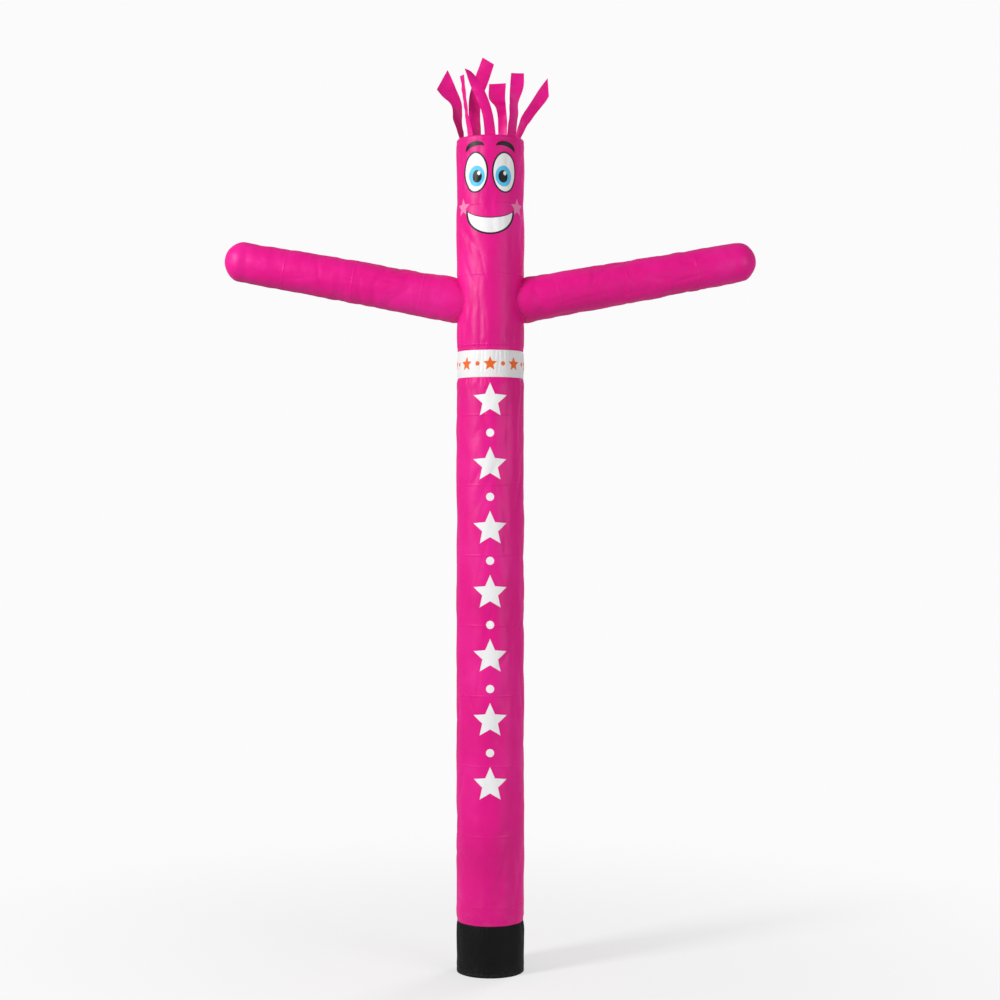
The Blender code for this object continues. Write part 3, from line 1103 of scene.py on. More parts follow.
def sewn_panel(name: str, places: Array, cloth: Array) -> bpy.types.Object:
    """Cuts a flat panel, lays it where the sewn cloth goes, and joins its edges where they meet.

    Args:
        name: The piece's name.
        places: Where each point of the panel goes, as rows of columns of coordinates.
        cloth: Where each point is on the flat cloth, in metres, in the same rows and columns.

    Returns:
        The panel, not yet thickened, with a UV map in metres.
    """
    rows, columns = places.shape[0] - 1, places.shape[1] - 1
    bpy.ops.object.select_all(action="DESELECT")
    bpy.ops.mesh.primitive_grid_add(x_subdivisions=columns, y_subdivisions=rows, size=1.0)
    panel = bpy.context.object
    panel.name = panel.data.name = name
    mesh = panel.data
    flat = corners_of(mesh)
    column = np.rint((flat[:, 0] + 0.5) * columns).astype(int)
    row = np.rint((flat[:, 1] + 0.5) * rows).astype(int)
    mesh.vertices.foreach_set("co", places[row, column].astype(np.float32).ravel())
    corners = np.empty(len(mesh.loops), np.int32)
    mesh.loops.foreach_get("vertex_index", corners)
    layer = mesh.uv_layers[0]
    layer.name = CLOTH_MAP
    layer.data.foreach_set("uv", cloth[row, column][corners].astype(np.float32).ravel())
    mesh.update()
    active(panel)
    bpy.ops.object.mode_set(mode="EDIT")
    bpy.ops.mesh.select_all(action="SELECT")
    bpy.ops.mesh.remove_doubles(threshold=WELD)
    bpy.ops.object.mode_set(mode="OBJECT")
    return panel


def thicken(panel: bpy.types.Object, thickness: float = THICKNESS) -> None:
    """Gives a sheet its thickness, inwards from its outer face, and shades it smooth.

    Args:
        panel: The sewn sheet.
        thickness: How thick the cloth is.
    """
    active(panel)
    wall = panel.modifiers.new("wall", "SOLIDIFY")
    wall.thickness = thickness
    wall.offset = -1.0
    bpy.ops.object.modifier_apply(modifier=wall.name)
    bpy.ops.object.shade_smooth_by_angle(angle=CREASE_ANGLE)


@dataclass(frozen=True)
class Thread:
    """A stitch of bonded polyester thread. Real ones are 0.4 mm thick and are drawn at 1.1 mm."""

    length: float = 0.0046
    pitch: float = 0.0066
    radius: float = 0.00055
    proud: float = 0.35
    sides: int = 5
    rings: int = 4

    def one(self) -> tuple[Array, list[list[int]]]:
        """Models one stitch as a small rounded bead along X.

        Returns:
            Its points, and the corner numbers of its faces.
        """
        bpy.ops.object.select_all(action="DESELECT")
        bpy.ops.mesh.primitive_uv_sphere_add(segments=self.sides, ring_count=self.rings, radius=1.0)
        bead = bpy.context.object
        points = np.array([tuple(point.co) for point in bead.data.vertices])
        # a new sphere lists its points and faces in any order, so they are put in one of our own
        order = np.lexsort(points.T)
        number = np.argsort(order).tolist()
        faces = []
        for face in bead.data.polygons:
            corners = [number[corner] for corner in face.vertices]
            first = corners.index(min(corners))
            faces.append(corners[first:] + corners[:first])
        bpy.data.objects.remove(bead)
        points = points[order][:, [2, 0, 1]] * (self.length / 2, self.radius, self.radius)
        return points, sorted(faces)

    def sew(self, name: str, rows: Stitching) -> bpy.types.Object:
        """Sews rows of stitches along curves.

        Args:
            name: The name of the finished rows.
            rows: Each row's curve and length in metres. A curve gives places and outward
                directions for shares from 0 to 1 of its length.

        Returns:
            One mesh with all the rows' stitches.
        """
        places, sideways, outwards = [], [], []
        for curve, length in rows:
            count = int(length / self.pitch)
            share = (np.arange(count) + 0.5) / count
            step = 0.2 / count
            here, out = curve(share)
            places.append(here + unit(out) * self.radius * self.proud)
            sideways.append(curve(share + step)[0] - curve(share - step)[0])
            outwards.append(out)
        middles, out = np.concatenate(places), np.concatenate(outwards)
        along = unit(np.concatenate(sideways))
        out = unit(out - (out * along).sum(-1, keepdims=True) * along)
        axes = np.stack([along, out, np.cross(along, out)], -2)
        points, faces = self.one()
        laid = middles[:, None, :] + np.einsum("pk,nkj->npj", points, axes)
        starts = range(0, len(middles) * len(points), len(points))
        polygons = [[start + corner for corner in face] for start in starts for face in faces]
        mesh = bpy.data.meshes.new(name)
        mesh.from_pydata(laid.reshape(-1, 3), [], polygons)
        mesh.shade_smooth()
        thing = bpy.data.objects.new(name, mesh)
        bpy.context.scene.collection.objects.link(thing)
        return thing


# ---------------------------------------------------------------- finishes

MIX_A, MIX_B, MIX_COLOUR = 6, 7, 2


def feed(tree: Tree, node: bpy.types.Node, feeds: dict[str | int, object]) -> None:
    """Links or sets some inputs of a node.

    Args:
        tree: The node's tree.
        node: The node.
        feeds: Another node's output, or a value, for each input by name or number.
    """
    for name, value in feeds.items():
        if isinstance(value, Socket):
            tree.links.new(value, node.inputs[name])
        else:
            node.inputs[name].default_value = value


def add_node(
    tree: Tree, kind: str, feeds: dict | None = None, out: int | str = 0, **settings: object
) -> Socket:
    """Adds a node with its settings and links.

    Args:
        tree: The material's node tree.
        kind: The node's type, without its "ShaderNode" start.
        feeds: What each input gets, by name or number.
        out: Which output is wanted, by name or number.
        settings: The node's own properties.

    Returns:
        The wanted output.
    """
    node = tree.nodes.new(f"ShaderNode{kind}")
    for name, value in settings.items():
        setattr(node, name, value)
    feed(tree, node, feeds or {})
    return node.outputs[out]


def new_material(name: str) -> tuple[bpy.types.Material, Tree, bpy.types.Node, Socket]:
    """Starts a material.

    Args:
        name: What the real material is, and how its surface was made.

    Returns:
        The material, its tree, its shader and the Object coordinates.
    """
    material = bpy.data.materials.new(name)
    material.use_nodes = True
    tree = material.node_tree
    return material, tree, tree.nodes["Principled BSDF"], add_node(tree, "TexCoord", out="Object")


def layered(tree: Tree, ground: object, layers: Sequence[tuple[str, Socket]]) -> Socket:
    """Lays colours over a ground, the lowest first.

    Args:
        tree: The material's node tree.
        ground: The colour underneath, or an output that gives it.
        layers: The hex code of each colour and its mask.

    Returns:
        The output with the finished colour.
    """
    for code, mask in layers:
        feeds = {0: mask, MIX_A: ground, MIX_B: linear(code)}
        ground = add_node(tree, "Mix", feeds, MIX_COLOUR, data_type="RGBA")
    return ground


def embossed(tree: Tree, layers: Sequence[tuple[Socket, float]]) -> Socket:
    """Adds up layers of low relief into a surface normal.

    Args:
        tree: The material's node tree.
        layers: The mask of each layer and its height in millimetres.

    Returns:
        The output with the normal.
    """
    relief = 0.0
    for mask, size in layers:
        feeds = {0: mask, 1: size, 2: relief}
        relief = add_node(tree, "Math", feeds, operation="MULTIPLY_ADD")
    return add_node(tree, "Bump", {"Height": relief, "Strength": 1.0, "Distance": 0.001})


@dataclass(frozen=True)
class Grain:
    """An uneven grain, and how its values from low to high are spread from 0 to most."""

    scale: float
    detail: float
    roughness: float
    low: float
    high: float
    most: float = 1.0

    def laid(self, tree: Tree, place: Socket) -> tuple[Socket, Socket]:
        """Lays the grain over a surface.

        Args:
            tree: The material's node tree.
            place: The surface's coordinates.

        Returns:
            The outputs with the grain itself and with its spread values.
        """
        feeds = {"Vector": place, "Scale": self.scale, "Detail": self.detail}
        grain = add_node(tree, "TexNoise", feeds | {"Roughness": self.roughness}, "Fac")
        feeds = {0: grain, 1: self.low, 2: self.high, 3: 0.0, 4: self.most}
        return grain, add_node(tree, "MapRange", feeds)


@dataclass(frozen=True)
class Dust:
    """Dust that clings to the cloth near the ground, in specks that thin out upwards."""

    colour: str
    top: float
    most: float
    specks: Grain

    def mask(self, tree: Tree, place: Socket) -> Socket:
        """Tells where the dust is.

        Args:
            tree: The material's node tree.
            place: The Object coordinates.

        Returns:
            The output with the mask.
        """
        height = add_node(tree, "SeparateXYZ", {0: place}, 2)
        feeds = {0: height, 1: 0.0, 2: self.top, 3: self.most, 4: 0.0}
        low = add_node(tree, "MapRange", feeds, interpolation_type="SMOOTHSTEP")
        patches = self.specks.laid(tree, place)[1]
        return add_node(tree, "Math", {0: low, 1: patches}, operation="MULTIPLY")


@dataclass(frozen=True)
class Motif:
    """One printed disc or oval: where it lies on the flat cloth, its half sizes and its colour.

    The turn is in degrees. A mirrored one is printed on both sides of the cloth's middle, a
    repeated one at every repeat across or up the cloth, and only_v is where a repeat stops.
    """

    colour: str
    u: float
    v: float
    half_width: float
    half_height: float
    turn: float = 0.0
    mirrored: bool = False
    repeat_u: float = 0.0
    repeat_v: float = 0.0
    only_v: Row | None = None
    blur: float = 0.002

    def spot(self, tree: Tree, cloth: Socket) -> Socket:
        """Brings the cloth's coordinates to the shape's own, where it is one unit in half size.

        Args:
            tree: The material's node tree.
            cloth: The coordinates on the flat cloth.

        Returns:
            The output with the shape's own coordinates.
        """
        place = cloth
        if self.mirrored:
            place = add_node(tree, "VectorMath", {0: place}, operation="ABSOLUTE")
        feeds = {"Vector": place, "Location": (self.u, self.v, 0)}
        place = add_node(tree, "Mapping", feeds, vector_type="TEXTURE")
        if self.repeat_u or self.repeat_v:
            half = Vector((self.repeat_u / 2 or 100.0, self.repeat_v / 2 or 100.0, 1.0))
            place = add_node(tree, "VectorMath", {0: place, 1: half, 2: -half}, operation="WRAP")
        feeds = {"Vector": place, "Rotation": (0, 0, radians(self.turn))}
        feeds["Scale"] = (self.half_width, self.half_height, 1)
        return add_node(tree, "Mapping", feeds, vector_type="TEXTURE")

    def edge(self, tree: Tree, measure: Socket, at: float) -> Socket:
        """Turns a measure that grows outwards into a crisp mask.

        Args:
            tree: The material's node tree.
            measure: The output with the measure.
            at: What it measures at the shape's edge.

        Returns:
            The output with the mask.
        """
        soft = self.blur / min(self.half_width, self.half_height)
        feeds = {0: measure, 1: at - soft, 2: at + soft, 3: 1.0, 4: 0.0}
        return add_node(tree, "MapRange", feeds, interpolation_type="SMOOTHSTEP")

    def shape(self, tree: Tree, spot: Socket) -> Socket:
        """Gives the mask of the plain shape, from the shape's own coordinates."""
        away = add_node(tree, "VectorMath", {0: spot}, 1, operation="LENGTH")
        return self.edge(tree, away, 1.0)

    def mask(self, tree: Tree, cloth: Socket) -> Socket:
        """Tells where the shape is printed.

        Args:
            tree: The material's node tree.
            cloth: The coordinates on the flat cloth.

        Returns:
            The output with the mask.
        """
        mask = self.shape(tree, self.spot(tree, cloth))
        if self.only_v:
            v = add_node(tree, "SeparateXYZ", {0: cloth}, 1)
            feeds = {0: v, 1: sum(self.only_v) / 2, 2: (self.only_v[1] - self.only_v[0]) / 2}
            inside = add_node(tree, "Math", feeds, operation="COMPARE")
            mask = add_node(tree, "Math", {0: mask, 1: inside}, operation="MULTIPLY")
        return mask


@dataclass(frozen=True)
class StarMotif(Motif):
    """A plain five-pointed star, as wide as it is high."""

    waist: float = 0.46

    def shape(self, tree: Tree, spot: Socket) -> Socket:
        """Gives the mask of the star, from the straight edge of one folded tenth of it.

        Args:
            tree: The material's node tree.
            spot: The shape's own coordinates.

        Returns:
            The output with the mask.
        """
        tenth = pi / 5
        rise, run = 1 - self.waist * cos(tenth), self.waist * sin(tenth)
        parts = add_node(tree, "SeparateXYZ", {0: spot}).node.outputs
        turn = add_node(tree, "Math", {0: parts[0], 1: parts[1]}, operation="ARCTAN2")
        folded = add_node(tree, "Math", {0: turn, 1: tenth}, operation="PINGPONG")
        turned = add_node(tree, "Math", {0: folded, 1: atan2(rise, run)}, operation="SUBTRACT")
        reach = add_node(tree, "Math", {0: turned}, operation="COSINE")
        away = add_node(tree, "VectorMath", {0: spot}, 1, operation="LENGTH")
        measure = add_node(tree, "Math", {0: away, 1: reach}, operation="MULTIPLY")
        return self.edge(tree, measure, run / hypot(rise, run))


@dataclass(frozen=True)
class CrescentMotif(Motif):
    """An oval with a bite out of it: a brow, or a grin when the bite is at the top."""

    bite_shift: float = 0.5
    bite_width: float = 1.2
    bite_height: float = 0.8

    def shape(self, tree: Tree, spot: Socket) -> Socket:
        """Gives the mask of the oval less its bite.

        Args:
            tree: The material's node tree.
            spot: The shape's own coordinates.

        Returns:
            The output with the mask.
        """
        feeds = {"Vector": spot, "Location": (0, self.bite_shift, 0)}
        feeds["Scale"] = (self.bite_width, self.bite_height, 1)
        bite = add_node(tree, "Mapping", feeds, vector_type="TEXTURE")
        feeds = {0: super().shape(tree, spot), 1: super().shape(tree, bite)}
        return add_node(tree, "Math", feeds, operation="SUBTRACT", use_clamp=True)


INK_BLACK = "0B0A0C"
INK_WHITE = "FAFAFA"
SKY_BLUE = "57CDF5"
BLUSH = "F287B7"
ORANGE = "F16A20"

# the face: brows, eyes from their outlines in to their glints, cheek stars and smile
FACE_PRINT = (
    CrescentMotif(
        INK_BLACK, 0.112, 5.540, 0.074, 0.044, -14, True, bite_shift=-0.55, bite_width=1.12
    ),
    Motif(INK_BLACK, 0.102, 5.378, 0.090, 0.138, mirrored=True),
    Motif(INK_WHITE, 0.102, 5.378, 0.079, 0.127, mirrored=True),
    Motif(SKY_BLUE, 0.094, 5.352, 0.058, 0.070, mirrored=True),
    Motif(INK_BLACK, 0.090, 5.350, 0.034, 0.042, mirrored=True),
    Motif(INK_WHITE, 0.103, 5.372, 0.012, 0.014),
    Motif(INK_WHITE, -0.077, 5.372, 0.012, 0.014),
    StarMotif(BLUSH, 0.208, 5.150, 0.062, 0.062, mirrored=True),
    CrescentMotif(INK_BLACK, 0, 5.118, 0.176, 0.156, bite_height=0.76),
    CrescentMotif(
        INK_WHITE, 0, 5.116, 0.160, 0.142, bite_shift=0.45, bite_width=1.26, bite_height=0.76
    ),
)
STAR_PITCH = 0.427
FIRST_STAR = 1.29
FIRST_DOT = FIRST_STAR + STAR_PITCH / 2
COLUMN_PRINT = (
    StarMotif(INK_WHITE, 0, FIRST_STAR, 0.120, 0.120, repeat_v=STAR_PITCH, only_v=(1.12, 4.03)),
    Motif(INK_WHITE, 0, FIRST_DOT, 0.027, 0.027, repeat_v=STAR_PITCH, only_v=(1.42, 3.76)),
)
BAND_PITCH = TUBE_GIRTH / 8
BAND_PRINT = (
    StarMotif(ORANGE, 0, 4.100, 0.050, 0.050, repeat_u=BAND_PITCH),
    Motif(ORANGE, BAND_PITCH / 2, 4.102, 0.015, 0.015, repeat_u=BAND_PITCH),
)


@dataclass(frozen=True)
class RipstopNylon:
    """Coated ripstop nylon: a thin, tight weave with a grid of thicker threads.

    It looks smooth and a little glossy, with a soft sheen where it turns away, papery creases,
    and a faint raised grid. The real grid is 5 mm and is drawn at 15 mm, so that it shows. The
    heights are in millimetres, and the cloth was folded into half its girth for its bag.
    """

    name: str
    colour: str
    faded: str
    shaded: str
    prints: tuple[Motif, ...] = ()
    roughness: float = 0.47
    clouded: float = 0.16
    dusty: float = 0.25
    gloss: float = 0.32
    sheen: float = 0.03
    sheen_spread: float = 0.35
    grid_pitch: Row = (0.015, 0.015)
    grid_width: float = 0.0016
    grid_tint: float = 0.12
    grid_height: float = 0.15
    fold_pitch: Row = (TUBE_GIRTH / 2, 0.47)
    fold_width: float = 0.009
    fold_height: float = 1.2
    crease_scale: float = 4.0
    crease_stretch: Stretch = (1.0, 1.0, 0.5)
    crease_width: float = 0.020
    crease_tint: float = 0.08
    crease_height: float = 0.55
    crumple_scale: float = 16.0
    crumple_height: float = 2.2
    ink_height: float = 0.18
    clouds: Grain = Grain(1.7, 3.0, 0.55, 0.30, 0.72)
    patches: Grain = Grain(4.3, 1.0, 0.5, 0.46, 0.60)
    dust: Dust = Dust("8B8078", 0.75, 0.30, Grain(13.0, 6.0, 0.65, 0.48, 0.80))

    def lines(self, tree: Tree, cloth: Socket, pitch: Row, start: float, width: float) -> Socket:
        """Draws a grid of soft lines on the cloth.

        Args:
            tree: The material's node tree.
            cloth: The coordinates on the flat cloth.
            pitch: How far apart the lines are across and up the cloth.
            start: How far across it they start.
            width: How far a line fades out to each side.

        Returns:
            The output with the mask.
        """
        half = Vector((*pitch, 1)) / 2
        moved = add_node(tree, "VectorMath", {0: cloth, 1: (start, 0, 0)}, operation="SUBTRACT")
        cell = add_node(tree, "VectorMath", {0: moved, 1: half, 2: -half}, operation="WRAP")
        away = add_node(tree, "VectorMath", {0: cell}, operation="ABSOLUTE")
        parts = add_node(tree, "SeparateXYZ", {0: away}).node.outputs
        near = add_node(tree, "Math", {0: parts[0], 1: parts[1]}, operation="MINIMUM")
        feeds = {0: near, 1: 0.0, 2: width, 3: 1.0, 4: 0.0}
        return add_node(tree, "MapRange", feeds, interpolation_type="SMOOTHSTEP")

    def creases(self, tree: Tree, place: Socket) -> Socket:
        """Draws fine papery creases, which wander, come and go.

        Args:
            tree: The material's node tree.
            place: The Object coordinates.

        Returns:
            The output with the mask.
        """
        feeds = {0: place, 1: self.crease_stretch}
        drawn = add_node(tree, "VectorMath", feeds, operation="MULTIPLY")
        feeds = {"Vector": drawn, "Scale": self.crease_scale, "Detail": 1.5, "Distortion": 0.15}
        values = add_node(tree, "TexNoise", feeds, "Fac")
        apart = add_node(tree, "Math", {0: values, 1: 0.5}, operation="SUBTRACT")
        apart = add_node(tree, "Math", {0: apart}, operation="ABSOLUTE")
        feeds = {0: apart, 1: 0.0, 2: self.crease_width, 3: 1.0, 4: 0.0}
        line = add_node(tree, "MapRange", feeds, interpolation_type="SMOOTHSTEP")
        come_and_go = self.patches.laid(tree, place)[1]
        return add_node(tree, "Math", {0: line, 1: come_and_go}, operation="MULTIPLY")

    def make(self) -> bpy.types.Material:
        """Makes the material.

        Returns:
            The finished material.
        """
        material, tree, shader, place = new_material(self.name)
        cloth = add_node(tree, "UVMap", uv_map=CLOTH_MAP)
        cloud, shade = self.clouds.laid(tree, place)
        colour = add_node(tree, "ValToRGB", {"Fac": shade})
        ramp = colour.node.color_ramp
        ramp.elements[0].color = linear(self.shaded)
        ramp.elements[1].color = linear(self.faded)
        ramp.elements.new(0.5).color = linear(self.colour)

        grid = self.lines(tree, cloth, self.grid_pitch, 0.0, self.grid_width)
        folds = self.lines(tree, cloth, self.fold_pitch, self.fold_pitch[0] / 2, self.fold_width)
        creases = self.creases(tree, place)
        dusty = self.dust.mask(tree, place)
        feeds = {0: grid, 1: self.grid_tint}
        layers = [(self.shaded, add_node(tree, "Math", feeds, operation="MULTIPLY"))]
        feeds = {0: creases, 1: self.crease_tint}
        layers += [(self.faded, add_node(tree, "Math", feeds, operation="MULTIPLY"))]
        feeds = {"Vector": place, "Scale": self.crumple_scale, "Detail": 3.0}
        relief = [(add_node(tree, "TexNoise", feeds, "Fac"), self.crumple_height)]
        relief += [(creases, self.crease_height), (folds, self.fold_height)]
        relief += [(grid, self.grid_height)]
        ink = 0.0
        for motif in self.prints:
            mask = motif.mask(tree, cloth)
            layers.append((motif.colour, mask))
            ink = add_node(tree, "Math", {0: ink, 1: mask}, operation="MAXIMUM")
        if self.prints:
            relief.append((ink, self.ink_height))
        layers.append((self.dust.colour, dusty))
        feeds = {0: cloud, 1: self.clouded, 2: self.roughness - self.clouded / 2}
        rough = add_node(tree, "Math", feeds, operation="MULTIPLY_ADD")
        feeds = {0: dusty, 1: self.dusty, 2: rough}
        feeds = {
            "Base Color": layered(tree, colour, layers),
            "Normal": embossed(tree, relief),
            "Roughness": add_node(tree, "Math", feeds, operation="MULTIPLY_ADD"),
            "Specular IOR Level": self.gloss,
            "Sheen Weight": self.sheen,
            "Sheen Roughness": self.sheen_spread,
            "Sheen Tint": linear(self.faded),
        }
        feed(tree, shader, feeds)
        return material


@dataclass(frozen=True)
class PackCloth:
    """Heavy woven polyester pack cloth: matt, with a coarse plain weave and dusty scuffs.

    The real threads are 0.7 mm apart and are drawn 6 mm apart, so that the weave shows. The
    heights are in millimetres.
    """

    name: str = "woven_polyester_pack_cloth"
    colour: str = "040405"
    worn: str = "0E0E10"
    thread: float = 0.006
    weave_height: float = 0.25
    crumple_scale: float = 14.0
    crumple_height: float = 3.0
    roughness: float = 0.62
    scuffed: float = 0.20
    gloss: float = 0.20
    sheen: float = 0.015
    sheen_spread: float = 0.5
    scuffs: Grain = Grain(9.0, 5.0, 0.6, 0.50, 0.75, 0.7)
    dust: Dust = Dust("4A4641", 0.09, 0.40, Grain(48.0, 5.0, 0.7, 0.45, 0.75))

    def make(self) -> bpy.types.Material:
        """Makes the material.

        Returns:
            The finished material.
        """
        material, tree, shader, place = new_material(self.name)
        cloth = add_node(tree, "UVMap", uv_map=CLOTH_MAP)
        turns = 2 * pi / self.thread
        phase = add_node(tree, "VectorMath", {0: cloth, 1: (turns, turns, 0)}, operation="MULTIPLY")
        wave = add_node(tree, "VectorMath", {0: phase}, operation="SINE")
        parts = add_node(tree, "SeparateXYZ", {0: wave}).node.outputs
        weave = add_node(tree, "Math", {0: parts[0], 1: parts[1]}, operation="MULTIPLY")

        scuffs, worn = self.scuffs.laid(tree, place)
        layers = [(self.worn, worn), (self.dust.colour, self.dust.mask(tree, place))]
        feeds = {"Vector": place, "Scale": self.crumple_scale, "Detail": 2.0}
        crumples = add_node(tree, "TexNoise", feeds, "Fac")
        relief = [(crumples, self.crumple_height), (weave, self.weave_height)]
        feeds = {0: scuffs, 1: self.scuffed, 2: self.roughness - self.scuffed / 2}
        feeds = {
            "Base Color": layered(tree, linear(self.colour), layers),
            "Normal": embossed(tree, relief),
            "Roughness": add_node(tree, "Math", feeds, operation="MULTIPLY_ADD"),
            "Specular IOR Level": self.gloss,
            "Sheen Weight": self.sheen,
            "Sheen Roughness": self.sheen_spread,
        }
        feed(tree, shader, feeds)
        return material


@dataclass(frozen=True)
class BondedThread:
    """Bonded polyester sewing thread: smooth, a little shiny, and slightly uneven in colour."""

    name: str
    colour: str
    lighter: str
    roughness: float = 0.45
    sheen: float = 0.1
    tone_scale: float = 60.0

    def make(self) -> bpy.types.Material:
        """Makes the material.

        Returns:
            The finished material.
        """
        material, tree, shader, place = new_material(self.name)
        feeds = {"Vector": place, "Scale": self.tone_scale, "Detail": 1.0}
        tone = add_node(tree, "TexNoise", feeds, "Fac")
        colour = layered(tree, linear(self.colour), [(self.lighter, tone)])
        feeds = {"Base Color": colour, "Roughness": self.roughness, "Sheen Weight": self.sheen}
        feed(tree, shader, feeds)
        return material


@dataclass(frozen=True)
class Dress:
    """What a piece of cloth is made of and sewn with, and the record's slot for it."""

    slot: Slot
    cloth: bpy.types.Material
    thread: bpy.types.Material


@dataclass(frozen=True)
class Finishes:
    """The dress of every piece of the dancer. Each finish is made once."""

    plain: Dress
    starred: Dress
    faced: Dress
    band: Dress
    sleeve: Dress

    @classmethod
    def mixed(cls) -> "Finishes":
        """Makes all the finishes.

        Returns:
            The dress of every piece.
        """
        pink = partial(RipstopNylon, colour="ED008C", faded="F41C9B", shaded="DE0081")
        white = partial(RipstopNylon, colour="F4F4F3", faded="FCFCFC", shaded="E6E6E8")
        threads = {
            Slot.PINK: BondedThread("bonded_thread_pink", "D8007F", "F52BA2").make(),
            Slot.WHITE: BondedThread("bonded_thread_white", "E4E4E4", "FFFFFF").make(),
            Slot.BLACK: BondedThread("bonded_thread_black", "151517", "333336").make(),
        }
        cloths = (
            (Slot.PINK, pink("ripstop_nylon_pink")),
            (Slot.PINK, pink("ripstop_nylon_pink_starred", prints=COLUMN_PRINT)),
            (Slot.PINK, pink("ripstop_nylon_pink_faced", prints=FACE_PRINT)),
            (Slot.WHITE, white("ripstop_nylon_white_starred", prints=BAND_PRINT)),
            (Slot.BLACK, PackCloth()),
        )
        return cls(*(Dress(slot, cloth.make(), threads[slot]) for slot, cloth in cloths))


def hand_in(piece: bpy.types.Object, material: bpy.types.Material, node: str) -> None:
    """Dresses a finished piece and ties it to the solid that it stands for.

    Args:
        piece: The finished mesh.
        material: Its finish.
        node: The CAD node that it replaces.
    """
    piece.data.materials.clear()
    piece.data.materials.append(material)
    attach(piece, "root")
    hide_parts(node)
    log.info("%s: %d faces", piece.name, len(piece.data.polygons))


# ---------------------------------------------------------------- the sewn tube


@dataclass
class TubeLength(ABC):
    """One sewn length of the tube: a panel rolled up round the air and closed up its back.

    The back seam's two rows of stitches are some degrees apart.
    """

    skin: TubeSkin
    dress: Dress
    node: str = ""
    columns: int = 232
    thickness: float = THICKNESS
    apart: float = 1.9
    thread: Thread = Thread()

    @abstractmethod
    def route(self) -> list[Row]:
        """Lists the panel's rows from its first edge to its last: their heights and depths."""

    @abstractmethod
    def stitched(self) -> dict[str, Stitching]:
        """Names the seams' stitches, and lists their rows."""

    @abstractmethod
    def cut_height(self) -> float:
        """Tells how high the panel was cut."""

    def open_up(self, cloth: bpy.types.Object) -> float:
        """Cuts holes in the sewn panel, and gives their area. A plain length has none."""
        return 0.0

    def line(self, start: Row, end: Row, share: Array) -> tuple[Array, Array]:
        """Places a straight row of stitches on the skin.

        Args:
            start: The angle and height that the row starts at.
            end: The angle and height that it ends at.
            share: How far along the row each place is, from 0 to 1.

        Returns:
            The places and their outward directions.
        """
        angle = start[0] + (end[0] - start[0]) * share
        height = start[1] + (end[1] - start[1]) * share
        places = self.skin.place(angle, height)
        return places, places * (1, 1, 0)

    def rings(self, *heights: float) -> Stitching:
        """Lists rows of stitches round the tube, with their lengths."""
        ends = [((-180, height), (180, height)) for height in heights]
        return [(partial(self.line, *pair), 2 * pi * self.skin.radius) for pair in ends]

    def uprights(self, low: float, high: float) -> Stitching:
        """Lists the two rows of stitches up the back seam.

        Args:
            low: The height that they start at.
            high: The height that they end at.

        Returns:
            The rows' curves and lengths.
        """
        angles = (180 - self.apart / 2, 180 + self.apart / 2)
        ends = [((angle, low), (angle, high)) for angle in angles]
        return [(partial(self.line, *pair), high - low) for pair in ends]

    def build(self) -> None:
        """Sews the panel and its stitching, and hands them in."""
        route = np.array(self.route())
        angle = self.skin.back.columns(self.columns)[None, :]
        height, sunk = route[:, :1], route[:, 1:]
        flat_places = np.broadcast_arrays(np.radians(angle) * self.skin.radius, height)
        places = self.skin.place(angle, height, sunk)
        cloth = sewn_panel(f"{self.node}_cloth", places, np.stack(flat_places, -1))
        holes = self.open_up(cloth)
        thicken(cloth, self.thickness)
        hand_in(cloth, self.dress.cloth, self.node)
        sewn = [self.thread.sew(name, rows) for name, rows in self.stitched().items()]
        for stitches in sewn:
            hand_in(stitches, self.dress.thread, self.node)
        flat = (2 * pi * self.skin.radius + SEAM_ALLOWANCE, self.cut_height())


@dataclass
class BaseSleeve(TubeLength):
    """The black sleeve that slips over the blower, with a turned hem at its mouth."""

    node: str = "base_sleeve"
    thickness: float = 0.0009
    hem: float = 0.025
    turned_in: float = 0.0028
    groove: float = 0.0009
    top_edge: float = 0.362
    hem_rows: Row = (0.0185, 0.0135)
    back_start: float = 0.028
    back_stop: float = 0.008

    def route(self) -> list[Row]:
        """Lists the rows: down inside the hem, round its edge, up the sleeve and into the tuck.

        Returns:
            Their heights, and how deep in the skin they lie.
        """
        top, tuck = self.skin.sleeve_top, self.skin.tuck
        rows = [(height, self.turned_in) for height in (self.hem, 0.016, 0.008, 0.0035)]
        rows += [(0.0010, 0.0022), (0.0, 0.0014), (0.0010, 0.0004)]
        rows += [(height, 0.0) for height in (0.0035, 0.012, 0.0205)]
        rows += [(0.0225, 0.0006), (0.025, 0.0010), (0.0275, self.groove)]
        stops = ((0.032, 0.010), (0.10, 0.014), (0.26, 0.008), (top - self.skin.tuck_start, 0.0))
        rows += [(height, self.groove) for height in spaced(stops)]
        rows += [(top - self.skin.tuck_end, tuck + 0.0004)]
        return rows + [(self.top_edge - 0.009, tuck), (self.top_edge, tuck)]

    def stitched(self) -> dict[str, Stitching]:
        """Names the stitches round the hem and up the back, and lists their rows."""
        back = self.uprights(self.back_start, self.skin.sleeve_top - self.back_stop)
        return {"base_hem_stitches": self.rings(*self.hem_rows), "base_back_stitches": back}

    def cut_height(self) -> float:
        """Tells how high the sleeve was cut, with its hem."""
        return self.top_edge + 2 * self.hem


# the rows of a folded hem that laps over a seam: their heights above it and their depths
LAPPED_HEM = (
    (0.0165, 0.0016),
    (0.009, 0.0016),
    (0.0025, 0.0015),
    (0.0006, 0.0012),
    (0.0, 0.0007),
    (0.0006, 0.0002),
    (0.0022, 0.0),
    (0.0042, 0.0004),
    (0.0062, 0.0),
)


